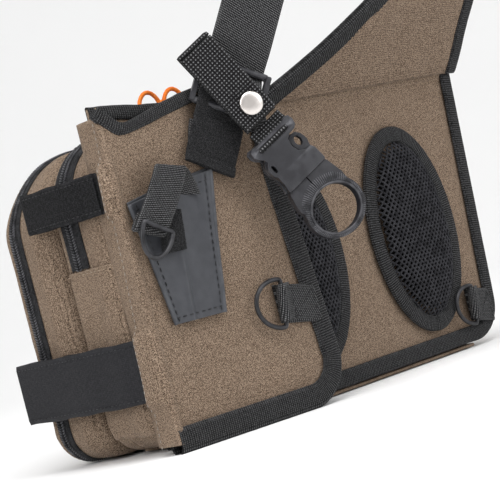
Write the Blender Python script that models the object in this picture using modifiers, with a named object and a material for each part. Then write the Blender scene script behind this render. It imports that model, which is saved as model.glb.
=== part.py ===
"""Landscape fishing sling bag: two zipped compartments, a swing-out hip wing with its tools,
and a shoulder loop. Metres, +Z up, the back panel faces -Y. The origin is under the middle of
the main compartment's base panel."""

import math

import bmesh
import bpy
from mathutils import Matrix, Vector

# Driving dimensions
BAG_WIDTH = 0.330
BAG_HEIGHT = 0.196
BACK_Y = -0.028  # outer face of the back panel
MAIN_ZIP = 0.038  # depths are measured forward from the back panel's face
VALLEY = 0.057  # seam between the two compartments
FRONT_ZIP = 0.094
DOOR_DEPTH = 0.026
TOP_RADIUS = 0.040
BASE_RADIUS = 0.022
WALL = 0.0014
GAP = 0.0003
CORNER_STEPS = 5
HALF = BAG_WIDTH / 2
CREASE_Z = 0.196  # the shoulder yoke bends here
ZIP_END_Z = 0.120  # the main zip stops here on both sides
ZIP_TAPE = 0.0085
ZIP_THICK = 0.0011
MAIN_FLOOR = 0.0028  # the main compartment stands on its base panel
FRONT_FLOOR = ZIP_THICK + GAP  # the front one stands on its zip

WING_TILT = math.radians(6.5)
WING_LAYER = 0.0020
WING_POCKET = 0.0058
WING_FACE = -(2 * WING_LAYER + WING_POCKET)  # the wing's outer face, in the wing's own frame
WING_EDGE = 0.0030

STRAP_WIDTH = 0.038
STRAP_THICK = 0.0016
LOOP_BREAK = 0.0028  # gap below the buckle's plug, so it swings clear of the webbing's end
STRAP_FACING = math.radians(30)  # the strap hardware turns this far towards -X
STRAP_ORIGIN = Vector((-0.075, -0.062, 0.205))  # middle of the ladder lock
STRAP_ROLL = math.radians(30)
CLIP_ROLL = math.radians(-30)
CLIP_OFFSET = Vector((0.0124, -0.0090, -0.0227))  # tool strap's lower end, in the lock's plane
TOOL_WIDTH = 0.025
TOOL_LENGTH = 0.0585
RING_DROP = 0.0706  # from the tool strap's lower end to the middle of the finger ring

WIRE = 0.0014  # radius of the D-ring wire
CORD = 0.0014  # radius of the puller cord

# Colours and finishes: base colour, roughness, metallic
FINISHES = {
    "canvas": ((0.20, 0.15, 0.11), 0.9, 0.0),
    "webbing": ((0.022, 0.022, 0.024), 0.8, 0.0),
    "mesh": ((0.02, 0.02, 0.022), 0.85, 0.0),
    "foam": ((0.10, 0.10, 0.11), 0.95, 0.0),
    "lining": ((0.06, 0.06, 0.065), 0.85, 0.0),
    "leather": ((0.085, 0.09, 0.105), 0.5, 0.0),
    "plastic": ((0.08, 0.08, 0.09), 0.45, 0.0),
    "board": ((0.05, 0.05, 0.05), 0.6, 0.0),
    "wire": ((0.12, 0.12, 0.13), 0.35, 0.9),
    "nickel": ((0.70, 0.66, 0.63), 0.3, 1.0),
    "cord": ((0.95, 0.20, 0.03), 0.7, 0.0),
}


def clear_scene():
    for found in list(bpy.data.objects):
        bpy.data.objects.remove(found, do_unlink=True)


def make_collection(name):
    group = bpy.data.collections.new(name)
    bpy.context.scene.collection.children.link(group)
    return group


def make_material(name):
    colour, rough, metal = FINISHES[name]
    found = bpy.data.materials.get(name)
    if found:
        return found
    made = bpy.data.materials.new(name)
    made.use_nodes = True
    shader = made.node_tree.nodes["Principled BSDF"]
    shader.inputs["Base Color"].default_value = (*colour, 1.0)
    shader.inputs["Roughness"].default_value = rough
    shader.inputs["Metallic"].default_value = metal
    return made


def depth(forward):
    """World Y of a depth measured forward from the back panel's face."""
    return BACK_Y + forward


def place(name, data, finish, parent=None, location=(0, 0, 0), rotation=(0, 0, 0)):
    made = bpy.data.objects.new(name, data)
    data.materials.append(make_material(finish))
    made.location = location
    made.rotation_euler = rotation
    made.parent = parent
    BAG.objects.link(made)
    return made


def frame_empty(name, location, rotation=(0, 0, 0), parent=None):
    made = bpy.data.objects.new(name, None)
    made.empty_display_size = 0.01
    made.location = location
    made.rotation_euler = rotation
    made.parent = parent
    BAG.objects.link(made)
    return made


def arc(centre, radius, start, stop, steps=CORNER_STEPS):
    """Points of an arc in the X-Z plane, both ends included; angles in degrees."""
    points = []
    for i in range(steps + 1):
        angle = math.radians(start + (stop - start) * i / steps)
        points.append((centre[0] + radius * math.cos(angle), centre[1] + radius * math.sin(angle)))
    return points


def rounded(x0, x1, z0, z1, base_radius, top_radius, steps=CORNER_STEPS):
    """Anticlockwise outline of a rectangle with rounded corners, from its lower right corner."""
    points = arc((x1 - base_radius, z0 + base_radius), base_radius, -90, 0, steps)
    points += arc((x1 - top_radius, z1 - top_radius), top_radius, 0, 90, steps)
    points += arc((x0 + top_radius, z1 - top_radius), top_radius, 90, 180, steps)
    points += arc((x0 + base_radius, z0 + base_radius), base_radius, 180, 270, steps)
    return points


def bag_outline(inset=0.0, floor=0.0):
    return rounded(
        -HALF + inset, HALF - inset, floor + inset, BAG_HEIGHT - inset,
        BASE_RADIUS - min(inset, BASE_RADIUS / 2), TOP_RADIUS - min(inset, TOP_RADIUS / 2),
    )


def ellipse(centre, half_x, half_z, steps=24):
    points = []
    for i in range(steps):
        angle = math.tau * i / steps
        points.append((centre[0] + half_x * math.cos(angle), centre[1] + half_z * math.sin(angle)))
    return points


def plate(name, loops, y_back, y_front, finish, parent=None):
    """A flat piece in the X-Z plane between two Y values; later loops are holes."""
    curve = bpy.data.curves.new(name, "CURVE")
    curve.dimensions = "2D"
    curve.fill_mode = "BOTH"
    curve.extrude = abs(y_front - y_back) / 2
    for loop in loops:
        spline = curve.splines.new("POLY")
        spline.points.add(len(loop) - 1)
        spline.use_cyclic_u = True
        for point, (x, z) in zip(spline.points, loop):
            point.co = (x, z, 0, 1)
    middle = (y_back + y_front) / 2
    return place(name, curve, finish, parent, (0, middle, 0), (math.pi / 2, 0, 0))


def tube(name, points, radius, finish, parent=None, cyclic=False):
    """A round wire or cord through the points."""
    curve = bpy.data.curves.new(name, "CURVE")
    curve.dimensions = "3D"
    curve.bevel_depth = radius
    curve.bevel_resolution = 2
    curve.use_fill_caps = not cyclic
    spline = curve.splines.new("POLY")
    spline.points.add(len(points) - 1)
    spline.use_cyclic_u = cyclic
    for point, place_at in zip(spline.points, points):
        point.co = (*place_at, 1)
    return place(name, curve, finish, parent)


def solidify(made, thickness, offset=-1.0):
    wall = made.modifiers.new("Wall", "SOLIDIFY")
    wall.thickness = thickness
    wall.offset = offset
    wall.use_even_offset = True


def tray(name, sections, finish, wall=WALL, parent=None, floor=0.0):
    """An open shell lofted through (y, inset) sections of the bag's outline; the last is closed."""
    mesh = bpy.data.meshes.new(name)
    shell = bmesh.new()
    rings = []
    for y, inset in sections:
        rings.append([shell.verts.new((x, y, z)) for x, z in bag_outline(inset, floor)])
    for low, high in zip(rings, rings[1:]):
        for i in range(len(low)):
            j = (i + 1) % len(low)
            shell.faces.new((low[i], low[j], high[j], high[i]))
    shell.faces.new(rings[-1])
    bmesh.ops.recalc_face_normals(shell, faces=shell.faces)
    # the shell is open, so the closed end's face tells which way is out
    end = shell.faces[:][-1]
    outwards = sections[-1][0] - sections[0][0]
    end.normal_update()
    if end.normal.y * outwards < 0:
        bmesh.ops.reverse_faces(shell, faces=shell.faces)
    shell.to_mesh(mesh)
    shell.free()
    made = place(name, mesh, finish, parent)
    solidify(made, wall)
    return made


def ribbon(name, path, across, width, thickness, finish, parent=None):
    """Flat webbing along a path. across is one direction, or one for each point."""
    if isinstance(across, Vector):
        across = [across] * len(path)
    widths = width if isinstance(width, list) else [width] * len(path)
    mesh = bpy.data.meshes.new(name)
    strip = bmesh.new()
    rows = []
    for point, side, wide in zip(path, across, widths):
        half = side.normalized() * wide / 2
        rows.append((strip.verts.new(Vector(point) - half), strip.verts.new(Vector(point) + half)))
    for (a, b), (c, d) in zip(rows, rows[1:]):
        strip.faces.new((a, b, d, c))
    strip.to_mesh(mesh)
    strip.free()
    made = place(name, mesh, finish, parent)
    solidify(made, thickness, 0.0)
    return made


def block(name, low, high, finish, parent=None, bevel=0.0):
    mesh = bpy.data.meshes.new(name)
    cube = bmesh.new()
    bmesh.ops.create_cube(cube, size=1.0)
    size = Vector(high) - Vector(low)
    middle = (Vector(high) + Vector(low)) / 2
    bmesh.ops.transform(cube, matrix=Matrix.Diagonal((*size, 1.0)), verts=cube.verts)
    cube.to_mesh(mesh)
    cube.free()
    made = place(name, mesh, finish, parent, middle)
    if bevel:
        edge = made.modifiers.new("Edge", "BEVEL")
        edge.width = bevel
        edge.segments = 2
    return made


def disc(name, centre, radius, y_back, y_front, finish, parent=None, nose=1.0):
    """A round piece whose axis is Y; nose is the outer end's radius as a share of the inner."""
    mesh = bpy.data.meshes.new(name)
    drum = bmesh.new()
    length = abs(y_front - y_back)
    bmesh.ops.create_cone(
        drum, cap_ends=True, segments=20, radius1=radius, radius2=radius * nose, depth=length
    )
    drum.to_mesh(mesh)
    drum.free()
    middle = (centre[0], (y_back + y_front) / 2, centre[1])
    return place(name, mesh, finish, parent, middle, (math.pi / 2, 0, 0))


def solid_mesh(made):
    """Turns a curve object into a mesh object in the same place, with its caps welded."""
    bpy.context.view_layer.update()
    graph = bpy.context.evaluated_depsgraph_get()
    mesh = bpy.data.meshes.new_from_object(made.evaluated_get(graph))
    welded = bmesh.new()
    welded.from_mesh(mesh)
    bmesh.ops.remove_doubles(welded, verts=welded.verts, dist=0.00001)
    welded.to_mesh(mesh)
    welded.free()
    name, parent, where = made.name, made.parent, made.matrix_local.copy()
    groups = list(made.users_collection)
    bpy.data.objects.remove(made, do_unlink=True)
    solid = bpy.data.objects.new(name, mesh)
    solid.parent = parent
    solid.matrix_local = where
    for group in groups:
        group.objects.link(solid)
    return solid


def boolean(made, tool, operation):
    """Cuts or joins with a tool, which goes to the cutters."""
    step = made.modifiers.new(operation.title(), "BOOLEAN")
    step.operation = operation
    step.object = tool
    BAG.objects.unlink(tool)
    CUTTERS.objects.link(tool)
    tool.hide_render = True
    tool.display_type = "WIRE"


def d_ring(name, bar_centre, bar_half, reach, direction, parent):
    """A wire D: a straight bar along Z or X and a round bow standing out along direction."""
    out = Vector(direction).normalized()
    along = Vector((0, 0, 1)) if abs(out.x) > abs(out.z) else Vector((1, 0, 0))
    centre = Vector(bar_centre)
    points = [centre + along * bar_half * 0.92, centre - along * bar_half * 0.92]
    steps = 12
    for i in range(steps + 1):
        angle = -math.pi / 2 + math.pi * i / steps
        points.append(
            centre + out * (reach * (0.16 + 0.84 * math.cos(angle))) + along * bar_half * math.sin(angle)
        )
    return tube(name, points, WIRE, "wire", parent, cyclic=True)


# --- main compartment -------------------------------------------------------------------------


def back_outline(grow=0.0):
    """The back panel, wider at its top right, with a rounded lower right corner."""
    left = -HALF - 0.001 - grow
    low = 0.004 - grow
    foot = 0.170 + grow
    top = 0.184 + grow
    corner = 0.028 + grow
    points = [(left, low)]
    points += arc((foot - corner, low + corner), corner, -90, 0)
    points += [(top, CREASE_Z), (left, CREASE_Z)]
    return points


def main_compartment():
    tray(
        "main_rear_shell",
        [(depth(MAIN_ZIP - GAP), 0), (depth(0.012), 0), (depth(0.0062), 0.005)],
        "canvas",
        floor=MAIN_FLOOR,
    )
    block(
        "base_panel",
        (-HALF + 0.026, depth(0.0010), 0),
        (HALF - 0.026, depth(VALLEY - 0.002), 0.0024),
        "canvas",
    )
    block(
        "base_board",
        (-HALF + 0.026, depth(0.0140), 0.0046),
        (HALF - 0.026, depth(0.0360), 0.0066),
        "board",
    )
    plate("back_panel", [back_outline()], depth(0.0014), depth(0), "canvas")
    plate("back_foam", [rounded(-0.158, 0.158, 0.012, 0.188, 0.02, 0.02)], depth(0.0017), depth(0.0058), "foam")
    inner = 0.0118
    outer = back_outline(0.0015)
    edge = list(outer[:-2])
    edge += [(0.184 + 0.0015, CREASE_Z), (0.184 - inner, CREASE_Z)]
    edge += list(reversed(arc((0.170 - 0.028, 0.004 + 0.028), 0.028 - inner, -90, 0)))
    edge += [(outer[0][0], 0.004 + inner)]
    plate("back_binding", [edge], depth(-GAP), depth(-0.0021), "webbing")
    plate(
        "slip_pocket",
        [rounded(-0.120, 0.120, 0.020, 0.135, 0.008, 0.008)],
        depth(0.0150), depth(0.0138), "lining",
    )


def lumbar_pads():
    for side, middle in (("right", 0.1000), ("left", -0.0220)):
        ring_out = ellipse((middle, 0.092), 0.0445, 0.0725)
        ring_in = ellipse((middle, 0.092), 0.0345, 0.0625)
        plate(f"pad_binding_{side}", [ring_out, ring_in], depth(-GAP), depth(-0.0048), "webbing")
        mesh = bpy.data.meshes.new(f"pad_{side}")
        cushion = bmesh.new()
        rings = []
        for share, rise in ((1.0, 0.0003), (1.0, 0.0050), (0.80, 0.0082), (0.42, 0.0098)):
            loop = ellipse((middle, 0.092), 0.0340 * share, 0.0620 * share)
            rings.append([cushion.verts.new((x, depth(-rise), z)) for x, z in loop])
        for low, high in zip(rings, rings[1:]):
            for i in range(len(low)):
                j = (i + 1) % len(low)
                cushion.faces.new((low[i], low[j], high[j], high[i]))
        cushion.faces.new(rings[0])
        cushion.faces.new(rings[-1])
        bmesh.ops.recalc_face_normals(cushion, faces=cushion.faces)
        cushion.to_mesh(mesh)
        cushion.free()
        place(f"pad_{side}", mesh, "mesh")


def zip_strip(name, y_back, y_front, whole, parent=None):
    """A zip tape lying on the shell; whole goes all round, else it ends low on both sides."""
    near, far = GAP, GAP + ZIP_THICK
    outer = rounded(-HALF - far, HALF + far, FRONT_FLOOR - far, BAG_HEIGHT + far, BASE_RADIUS, TOP_RADIUS)
    inner = rounded(-HALF - near, HALF + near, FRONT_FLOOR - near, BAG_HEIGHT + near, BASE_RADIUS, TOP_RADIUS)
    if whole:
        return plate(name, [outer, inner], y_back, y_front, "webbing", parent)
    corner = CORNER_STEPS + 1
    over, under = outer[corner:3 * corner], inner[corner:3 * corner]
    over = [(over[0][0], ZIP_END_Z), *over, (over[-1][0], ZIP_END_Z)]
    under = [(under[0][0], ZIP_END_Z), *under, (under[-1][0], ZIP_END_Z)]
    return plate(name, [over + under[::-1]], y_back, y_front, "webbing", parent)


def slider(name, x, y):
    """A zip slider on the bag's top, with a loop of cord as its puller."""
    z = BAG_HEIGHT + ZIP_THICK + 2 * GAP
    height = 0.0042
    block(f"{name}_slider", (x - 0.0045, y - 0.0035, z), (x + 0.0045, y + 0.0035, z + height), "wire", bevel=0.0008)
    base = Vector((x, y, z + height + CORD + GAP))
    radius = 0.0085
    steps = 14
    points = []
    for i in range(steps):
        angle = math.tau * i / steps
        points.append(base + Vector((radius * math.sin(angle), 0, radius * (1 - math.cos(angle)))))
    tube(f"{name}_puller", points, CORD, "cord", cyclic=True)


def front_section():
    tray(
        "main_front_shell",
        [(depth(MAIN_ZIP + GAP), 0), (depth(0.052), 0), (depth(VALLEY - 0.001), 0.003)],
        "canvas",
        floor=MAIN_FLOOR,
    )
    tray(
        "front_pocket_shell",
        [(depth(FRONT_ZIP - GAP), 0), (depth(0.062), 0), (depth(VALLEY - 0.0005), 0.003)],
        "canvas",
        floor=FRONT_FLOOR,
    )
    plate(
        "front_organizer",
        [rounded(-0.130, 0.130, 0.014, 0.110, 0.008, 0.008)],
        depth(0.0660), depth(0.0648), "lining",
    )
    zip_strip("front_zip_rear", depth(FRONT_ZIP - ZIP_TAPE), depth(FRONT_ZIP - GAP), True)
    zip_strip("main_zip_front", depth(MAIN_ZIP + GAP), depth(MAIN_ZIP + ZIP_TAPE), False)


def front_door():
    tray(
        "front_door",
        [
            (depth(FRONT_ZIP + GAP), 0), (depth(FRONT_ZIP + 0.012), 0.0005),
            (depth(FRONT_ZIP + 0.020), 0.006), (depth(FRONT_ZIP + DOOR_DEPTH), 0.022),
        ],
        "canvas",
        wall=0.0024,
        floor=FRONT_FLOOR,
    )
    zip_strip("front_zip_door", depth(FRONT_ZIP + GAP), depth(FRONT_ZIP + ZIP_TAPE), True)
    front = FRONT_ZIP + DOOR_DEPTH
    plate(
        "door_pocket",
        [rounded(-0.105, 0.105, 0.034, 0.122, 0.010, 0.004)],
        depth(front + GAP), depth(front + 0.0042), "canvas",
    )


# --- wing --------------------------------------------------------------------------------------


def wing_outline(inset=0.0):
    """Anticlockwise, in the wing's frame: u from the seam, z up. The top dips by the pocket mouth."""
    foot = 0.1355 - inset
    low = 0.0025 + inset
    corner = 0.028 - inset
    points = [(0.0008 + inset, low)]
    points += arc((foot - corner, low + corner), corner, -90, 0)
    points += [(0.1295 - inset, 0.104), (0.1265 - inset, 0.140), (0.1245 - inset, 0.184)]
    points += [(0.1220 - inset, 0.2125 - inset), (0.1000, 0.2115 - inset), (0.0770, 0.2060 - inset)]
    points += [(0.0500, 0.1975 - inset), (0.0340, 0.1945 - inset), (0.0171, 0.1945 - inset)]
    points += [(0.0008 + inset, 0.2030 - inset)]
    return points


def wing(parent):
    back = wing_outline(WING_EDGE)
    plate("wing_backing", [back], 0, -WING_LAYER, "canvas", parent)
    plate("wing_front", [back], WING_FACE + WING_LAYER, WING_FACE, "canvas", parent)
    outer = wing_outline()
    inner = wing_outline(WING_EDGE - GAP)
    top_right = outer.index((0.1000, 0.2115))
    band = outer[:top_right + 2]
    band += inner[:top_right + 2][::-1]
    plate("wing_binding", [band], 0.0006, WING_FACE - 0.0010, "webbing", parent)
    spacer = [(0.052, 0.0075)] + [(p[0] - 0.0012, p[1]) for p in arc((0.1000, 0.0330), 0.0255, -90, 0)]
    spacer += [(0.1205, 0.140), (0.1180, 0.1890), (0.0560, 0.1890)]
    plate("wing_foam", [spacer], -WING_LAYER - GAP, WING_FACE + WING_LAYER + GAP, "foam", parent)


def holster(parent):
    """A leather sleeve for pliers, open at both ends, with a webbing loop over its top."""
    face = WING_FACE - GAP
    outline = [(0.0175, 0.0740), (0.0545, 0.0735), (0.0708, 0.1600), (0.0056, 0.1495)]
    channel = [(0.0215, 0.0600), (0.0480, 0.0600), (0.0680, 0.1700), (0.0068, 0.1700)]
    back_y = face - 0.0014
    sleeve = solid_mesh(plate("holster", [outline], face, back_y - 0.0068, "leather", parent))
    hollow = solid_mesh(plate("holster_channel", [channel], back_y, back_y - 0.0054, "leather", parent))
    boolean(sleeve, hollow, "DIFFERENCE")
    loop_y = back_y - 0.0068 - GAP - 0.0012
    path = [(0.0450, loop_y, 0.1560), (0.0410, loop_y - 0.0036, 0.1640), (0.0350, loop_y - 0.0046, 0.1630)]
    path += [(0.0230, loop_y - 0.0040, 0.1480), (0.0140, loop_y - 0.0036, 0.1345)]
    ribbon(
        "holster_loop", path, Vector((0.80, 0, -0.60)), 0.0215, 0.0018, "webbing", parent
    )
    patch = [(0.0220, 0.1130), (0.0370, 0.1180), (0.0420, 0.1400), (0.0270, 0.1420)]
    plate("hook_patch", [patch], back_y - 0.0068 - GAP, back_y - 0.0080 - GAP, "webbing", parent)
    ring_y = loop_y - 0.0036 - 0.0009 - WIRE - GAP
    hinge = frame_empty("holster_ring_axis", (0.0130, ring_y, 0.1325), (0, math.radians(30), 0), parent)
    d_ring("holster_d_ring", (0, 0, 0), 0.0105, 0.0215, (0, 0, -1), hinge)


def wing_tab(parent):
    face = WING_FACE - GAP
    plate("wing_tab", [[(0.0965, 0.0570), (0.1235, 0.0520), (0.1235, 0.0765), (0.0965, 0.0815)]],
          face, face - 0.0030, "webbing", parent)
    ring_y = face - 0.0030 - GAP - WIRE
    hinge = frame_empty("wing_ring_axis", (0.0985, ring_y, 0.0690), (0, math.radians(8), 0), parent)
    d_ring("wing_d_ring", (0, 0, 0), 0.0150, 0.0210, (-1, 0, 0), hinge)


def back_tab():
    face = depth(-0.0021) - GAP
    plate("back_tab", [[(0.1365, 0.0180), (0.1600, 0.0130), (0.1600, 0.0370), (0.1365, 0.0420)]],
          face, face - 0.0030, "webbing")
    ring_y = face - 0.0030 - GAP - WIRE
    hinge = frame_empty("back_ring_axis", (0.1385, ring_y, 0.0290), (0, math.radians(8), 0))
    d_ring("back_d_ring", (0, 0, 0), 0.0135, 0.0190, (-1, 0, 0), hinge)


def side_bands():
    """Two doubled loops sewn into the back left seam, standing along the bag's left side."""
    for name, low, high, reach, thick, gap in (
        ("upper_band", 0.1480, 0.1730, 0.0740, 0.0016, 0.0052),
        ("lower_band", 0.0330, 0.0710, 0.1240, 0.0020, 0.0052),
    ):
        x = -HALF - ZIP_THICK - 2 * GAP - thick
        inner, outer = x, x - gap - thick
        y0, y1 = depth(-0.0005), depth(reach)
        half = thick / 2
        loop = [
            (inner + half, y0), (inner + half, y1 - 0.004), (inner - gap / 2, y1),
            (outer - half, y1 - 0.004), (outer - half, y0),
        ]
        hole = [
            (inner - half, y0 + 0.004), (inner - half, y1 - 0.004 - thick), (inner - gap / 2, y1 - thick - 0.001),
            (outer + half, y1 - 0.004 - thick), (outer + half, y0 + 0.004),
        ]
        curve = bpy.data.curves.new(name, "CURVE")
        curve.dimensions = "2D"
        curve.fill_mode = "BOTH"
        curve.extrude = (high - low) / 2
        for points in (loop, hole):
            spline = curve.splines.new("POLY")
            spline.points.add(len(points) - 1)
            spline.use_cyclic_u = True
            for point, (px, py) in zip(spline.points, points):
                point.co = (px + HALF, py - depth(0), 0, 1)
        place(name, curve, "webbing", None, (-HALF, depth(0), (low + high) / 2))


# --- shoulder strap ------------------------------------------------------------------------------


def shoulder_yoke():
    """The padded yoke: it bends out of the back panel at the crease and narrows to the strap."""
    left = [(-0.0240, -0.0300, 0.1966), (-0.0150, -0.0335, 0.2000), (0.0380, -0.0560, 0.2275),
            (0.0850, -0.0780, 0.2600), (0.1130, -0.0930, 0.3000)]
    right = [(0.1850, -0.0300, 0.1966), (0.1850, -0.0335, 0.2000), (0.1830, -0.0540, 0.2275),
             (0.1815, -0.0780, 0.2600), (0.1800, -0.0930, 0.3000)]
    mesh = bpy.data.meshes.new("shoulder_yoke")
    strip = bmesh.new()
    rows = []
    for a, b in zip(left, right):
        rows.append([strip.verts.new(Vector(a).lerp(Vector(b), i / 4)) for i in range(5)])
    for low, high in zip(rows, rows[1:]):
        for i in range(4):
            strip.faces.new((low[i], low[i + 1], high[i + 1], high[i]))
    strip.to_mesh(mesh)
    strip.free()
    made = place("shoulder_yoke", mesh, "canvas")
    solidify(made, 0.0050, 0.0)


def strap_path():
    """Middle line of the upper webbing: from the yoke, over the arch and down to the buckle."""
    lean = (RISE_TOP - STRAP_ORIGIN).normalized()
    start = Vector((0.1465, -0.0935, 0.3020))
    knots = [
        start, Vector((0.1470, -0.0950, 0.3300)), Vector((0.1340, -0.0970, 0.3620)),
        Vector((0.1020, -0.0980, 0.3850)), Vector((0.0620, -0.0980, 0.3880)),
        Vector((0.0290, -0.0985, 0.3740)),
    ]
    knots.append(RISE_TOP + lean * 0.014)
    knots.append(RISE_TOP + lean * 0.002)
    return knots


def shoulder_strap(strap_frame):
    knots = strap_path()
    flat = Vector((math.cos(STRAP_FACING), -math.sin(STRAP_FACING), 0))
    lean = (RISE_TOP - STRAP_ORIGIN).normalized()
    side = (flat - lean * flat.dot(lean)).normalized()
    turns = [(1, 0, 0), (1, -0.15, 0.1), (0.72, -0.60, 0.35), (0.35, -0.92, 0.15), (0.02, -1, 0), (0.30, -0.90, -0.12)]
    across = []
    for i, knot in enumerate(knots):
        if i >= len(turns):
            across.append(side)
            continue
        ahead = knots[min(i + 1, len(knots) - 1)] - knots[max(i - 1, 0)]
        ahead.normalize()
        turn = Vector(turns[i])
        across.append((turn - ahead * turn.dot(ahead)).normalized())
    ribbon("shoulder_webbing", knots, across, STRAP_WIDTH, STRAP_THICK, "webbing")
    rise = (RISE_TOP - STRAP_ORIGIN).length
    # the lower webbing, buckle and ladder lock share the strap frame: X across, Z along, -Y out
    base = rise - 0.058
    ribbon(
        "lower_webbing",
        [(0, 0.0026, -0.0060), (0, 0.0026, 0.0060), (0, 0.0022, 0.0180), (0, 0, 0.0300), (0, 0, base - LOOP_BREAK)],
        Vector((1, 0, 0)), STRAP_WIDTH, STRAP_THICK, "webbing", strap_frame,
    )
    plug = [(-0.021, base), (0.021, base), (0.021, base + 0.012), (0.0165, base + 0.012), (0.0165, base + 0.034),
            (0.0115, base + 0.038), (0.0115, base + 0.012), (-0.0115, base + 0.012), (-0.0115, base + 0.038),
            (-0.0165, base + 0.034), (-0.0165, base + 0.012), (-0.021, base + 0.012)]
    plate("strap_plug", [plug], 0.0020, -0.0020, "plastic", strap_frame)
    top = rise
    socket = solid_mesh(
        plate("strap_socket", [[(-0.0235, base + 0.0126), (0.0235, base + 0.0126), (0.0235, top), (-0.0235, top)]],
              0.0050, -0.0050, "plastic", strap_frame)
    )
    channel = block("strap_socket_channel", (-0.0188, -0.0026, base), (0.0188, 0.0026, top - 0.006), "plastic", strap_frame)
    boolean(socket, channel, "DIFFERENCE")


def ladder_lock(wing_frame, strap_frame):
    outer = rounded(-0.0230, 0.0230, -0.0150, 0.0150, 0.004, 0.004, 3)
    slots = [
        [(-0.0198, 0.0035), (0.0198, 0.0035), (0.0198, 0.0110), (-0.0198, 0.0110)],
        [(-0.0198, -0.0110), (0.0198, -0.0110), (0.0198, -0.0035), (-0.0198, -0.0035)],
    ]
    plate("ladder_lock", [outer, *slots], -0.0002, -0.0034, "plastic", strap_frame)
    # the webbing that holds the lock is sewn to the wing's top edge
    ribbon(
        "lock_tab",
        [(0.0760, -0.0111, 0.1700), (0.0790, -0.0117, 0.1800), (0.0815, -0.0130, 0.1870)],
        Vector((0.86, 0, -0.52)), 0.0340, 0.0014, "webbing", wing_frame,
    )
    ribbon(
        "strap_tail",
        [(0.0815, -0.0172, 0.1868), (0.0795, -0.0162, 0.1800), (0.0765, -0.0149, 0.1720),
         (0.0735, -0.0144, 0.1660), (0.0702, -0.0144, 0.1604)],
        Vector((0.86, 0, -0.52)), 0.0370, 0.0018, "webbing", wing_frame,
    )


def tool_strap(clip_frame):
    """The webbing that snaps round the shoulder webbing, and the loop that carries the clip."""
    half = TOOL_WIDTH / 2
    fold = TOOL_LENGTH
    plate("tool_strap_flap", [[(-half, 0), (half, 0), (half, fold), (-half, fold)]], 0, -0.0018, "webbing", clip_frame)
    ribbon(
        "tool_strap_back",
        [(0, -0.0009, fold + 0.0014), (0, 0.0014, fold + 0.0026), (0, 0.0030, fold + 0.0004),
         (0, 0.0030, 0.0300), (0, 0.0030, -0.0015)],
        Vector((1, 0, 0)), TOOL_WIDTH, 0.0016, "webbing", clip_frame,
    )
    disc("snap_cap", (0.0015, 0.0110), 0.0074, -0.0018 - GAP, -0.0036, "nickel", clip_frame, 0.88)
    disc("snap_stud", (0.0015, 0.0110), 0.0050, 0.0022 - GAP, GAP, "nickel", clip_frame, 0.8)
    ribbon(
        "clip_loop",
        [(0, 0.0030, -0.0034), (0, 0.0024, -0.0070), (0, 0.0010, -0.0110), (0, 0.0005, -0.0146)],
        Vector((1, 0, 0)), TOOL_WIDTH, 0.0016, "webbing", clip_frame,
    )


def tool_clip(clip_frame):
    """A side-release clip: socket above, plug with the finger ring below, a latch arm each side."""
    top, bottom = -0.0150, -0.0510
    half = 0.0168
    ears = [(-half + 0.004, top), (half - 0.004, top), (half, top - 0.006), (0.0140, top - 0.013),
            (0.0140, bottom + 0.010), (half - 0.001, bottom), (-half + 0.001, bottom),
            (-0.0140, bottom + 0.010), (-0.0140, top - 0.013), (-half, top - 0.006)]
    socket = solid_mesh(plate("clip_socket", [ears[::-1]], 0.0060, -0.0050, "plastic", clip_frame))
    channel = block("clip_channel", (-0.0186, -0.0024, bottom - 0.002), (0.0186, 0.0034, top - 0.010), "plastic", clip_frame)
    boolean(socket, channel, "DIFFERENCE")
    centre = (0.0, -RING_DROP)
    ring_out = ellipse(centre, 0.0205, 0.0190, 28)
    neck = bottom - GAP
    body = [p for p in ring_out if not (p[1] > centre[1] + 0.0125)]
    start = next(i for i, p in enumerate(body) if p[0] > 0 and p[1] > centre[1] and body[(i + 1) % len(body)][0] < 0)
    body = body[start + 1:] + body[:start + 1]
    plug = solid_mesh(
        plate("clip_plug", [body + [(0.0172, neck - 0.006), (0.0150, neck), (-0.0150, neck), (-0.0172, neck - 0.006)],
                            ellipse((0.0, -RING_DROP - 0.0005), 0.0135, 0.0125, 24)],
              0.0058, -0.0048, "plastic", clip_frame)
    )
    tongue = block("clip_tongue", (-0.0045, -0.0016, neck - 0.003), (0.0045, 0.0026, -0.0290), "plastic", clip_frame)
    boolean(plug, tongue, "UNION")
    for name, sign in (("left", -1), ("right", 1)):
        arm = [(sign * 0.0065, neck + GAP), (sign * 0.0120, neck + GAP), (sign * 0.0132, -0.0400),
               (sign * 0.0160, -0.0330), (sign * 0.0120, -0.0280), (sign * 0.0085, -0.0330)]
        plate(f"clip_latch_{name}", [arm[::sign]], 0.0026, -0.0016, "plastic", clip_frame)


clear_scene()
BAG = make_collection("fishing_sling_bag")
CUTTERS = make_collection("cutters")
RISE_TOP = STRAP_ORIGIN + Vector((
    math.sin(STRAP_ROLL) * math.cos(STRAP_FACING),
    -math.sin(STRAP_ROLL) * math.sin(STRAP_FACING),
    math.cos(STRAP_ROLL),
)) * 0.158

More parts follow.
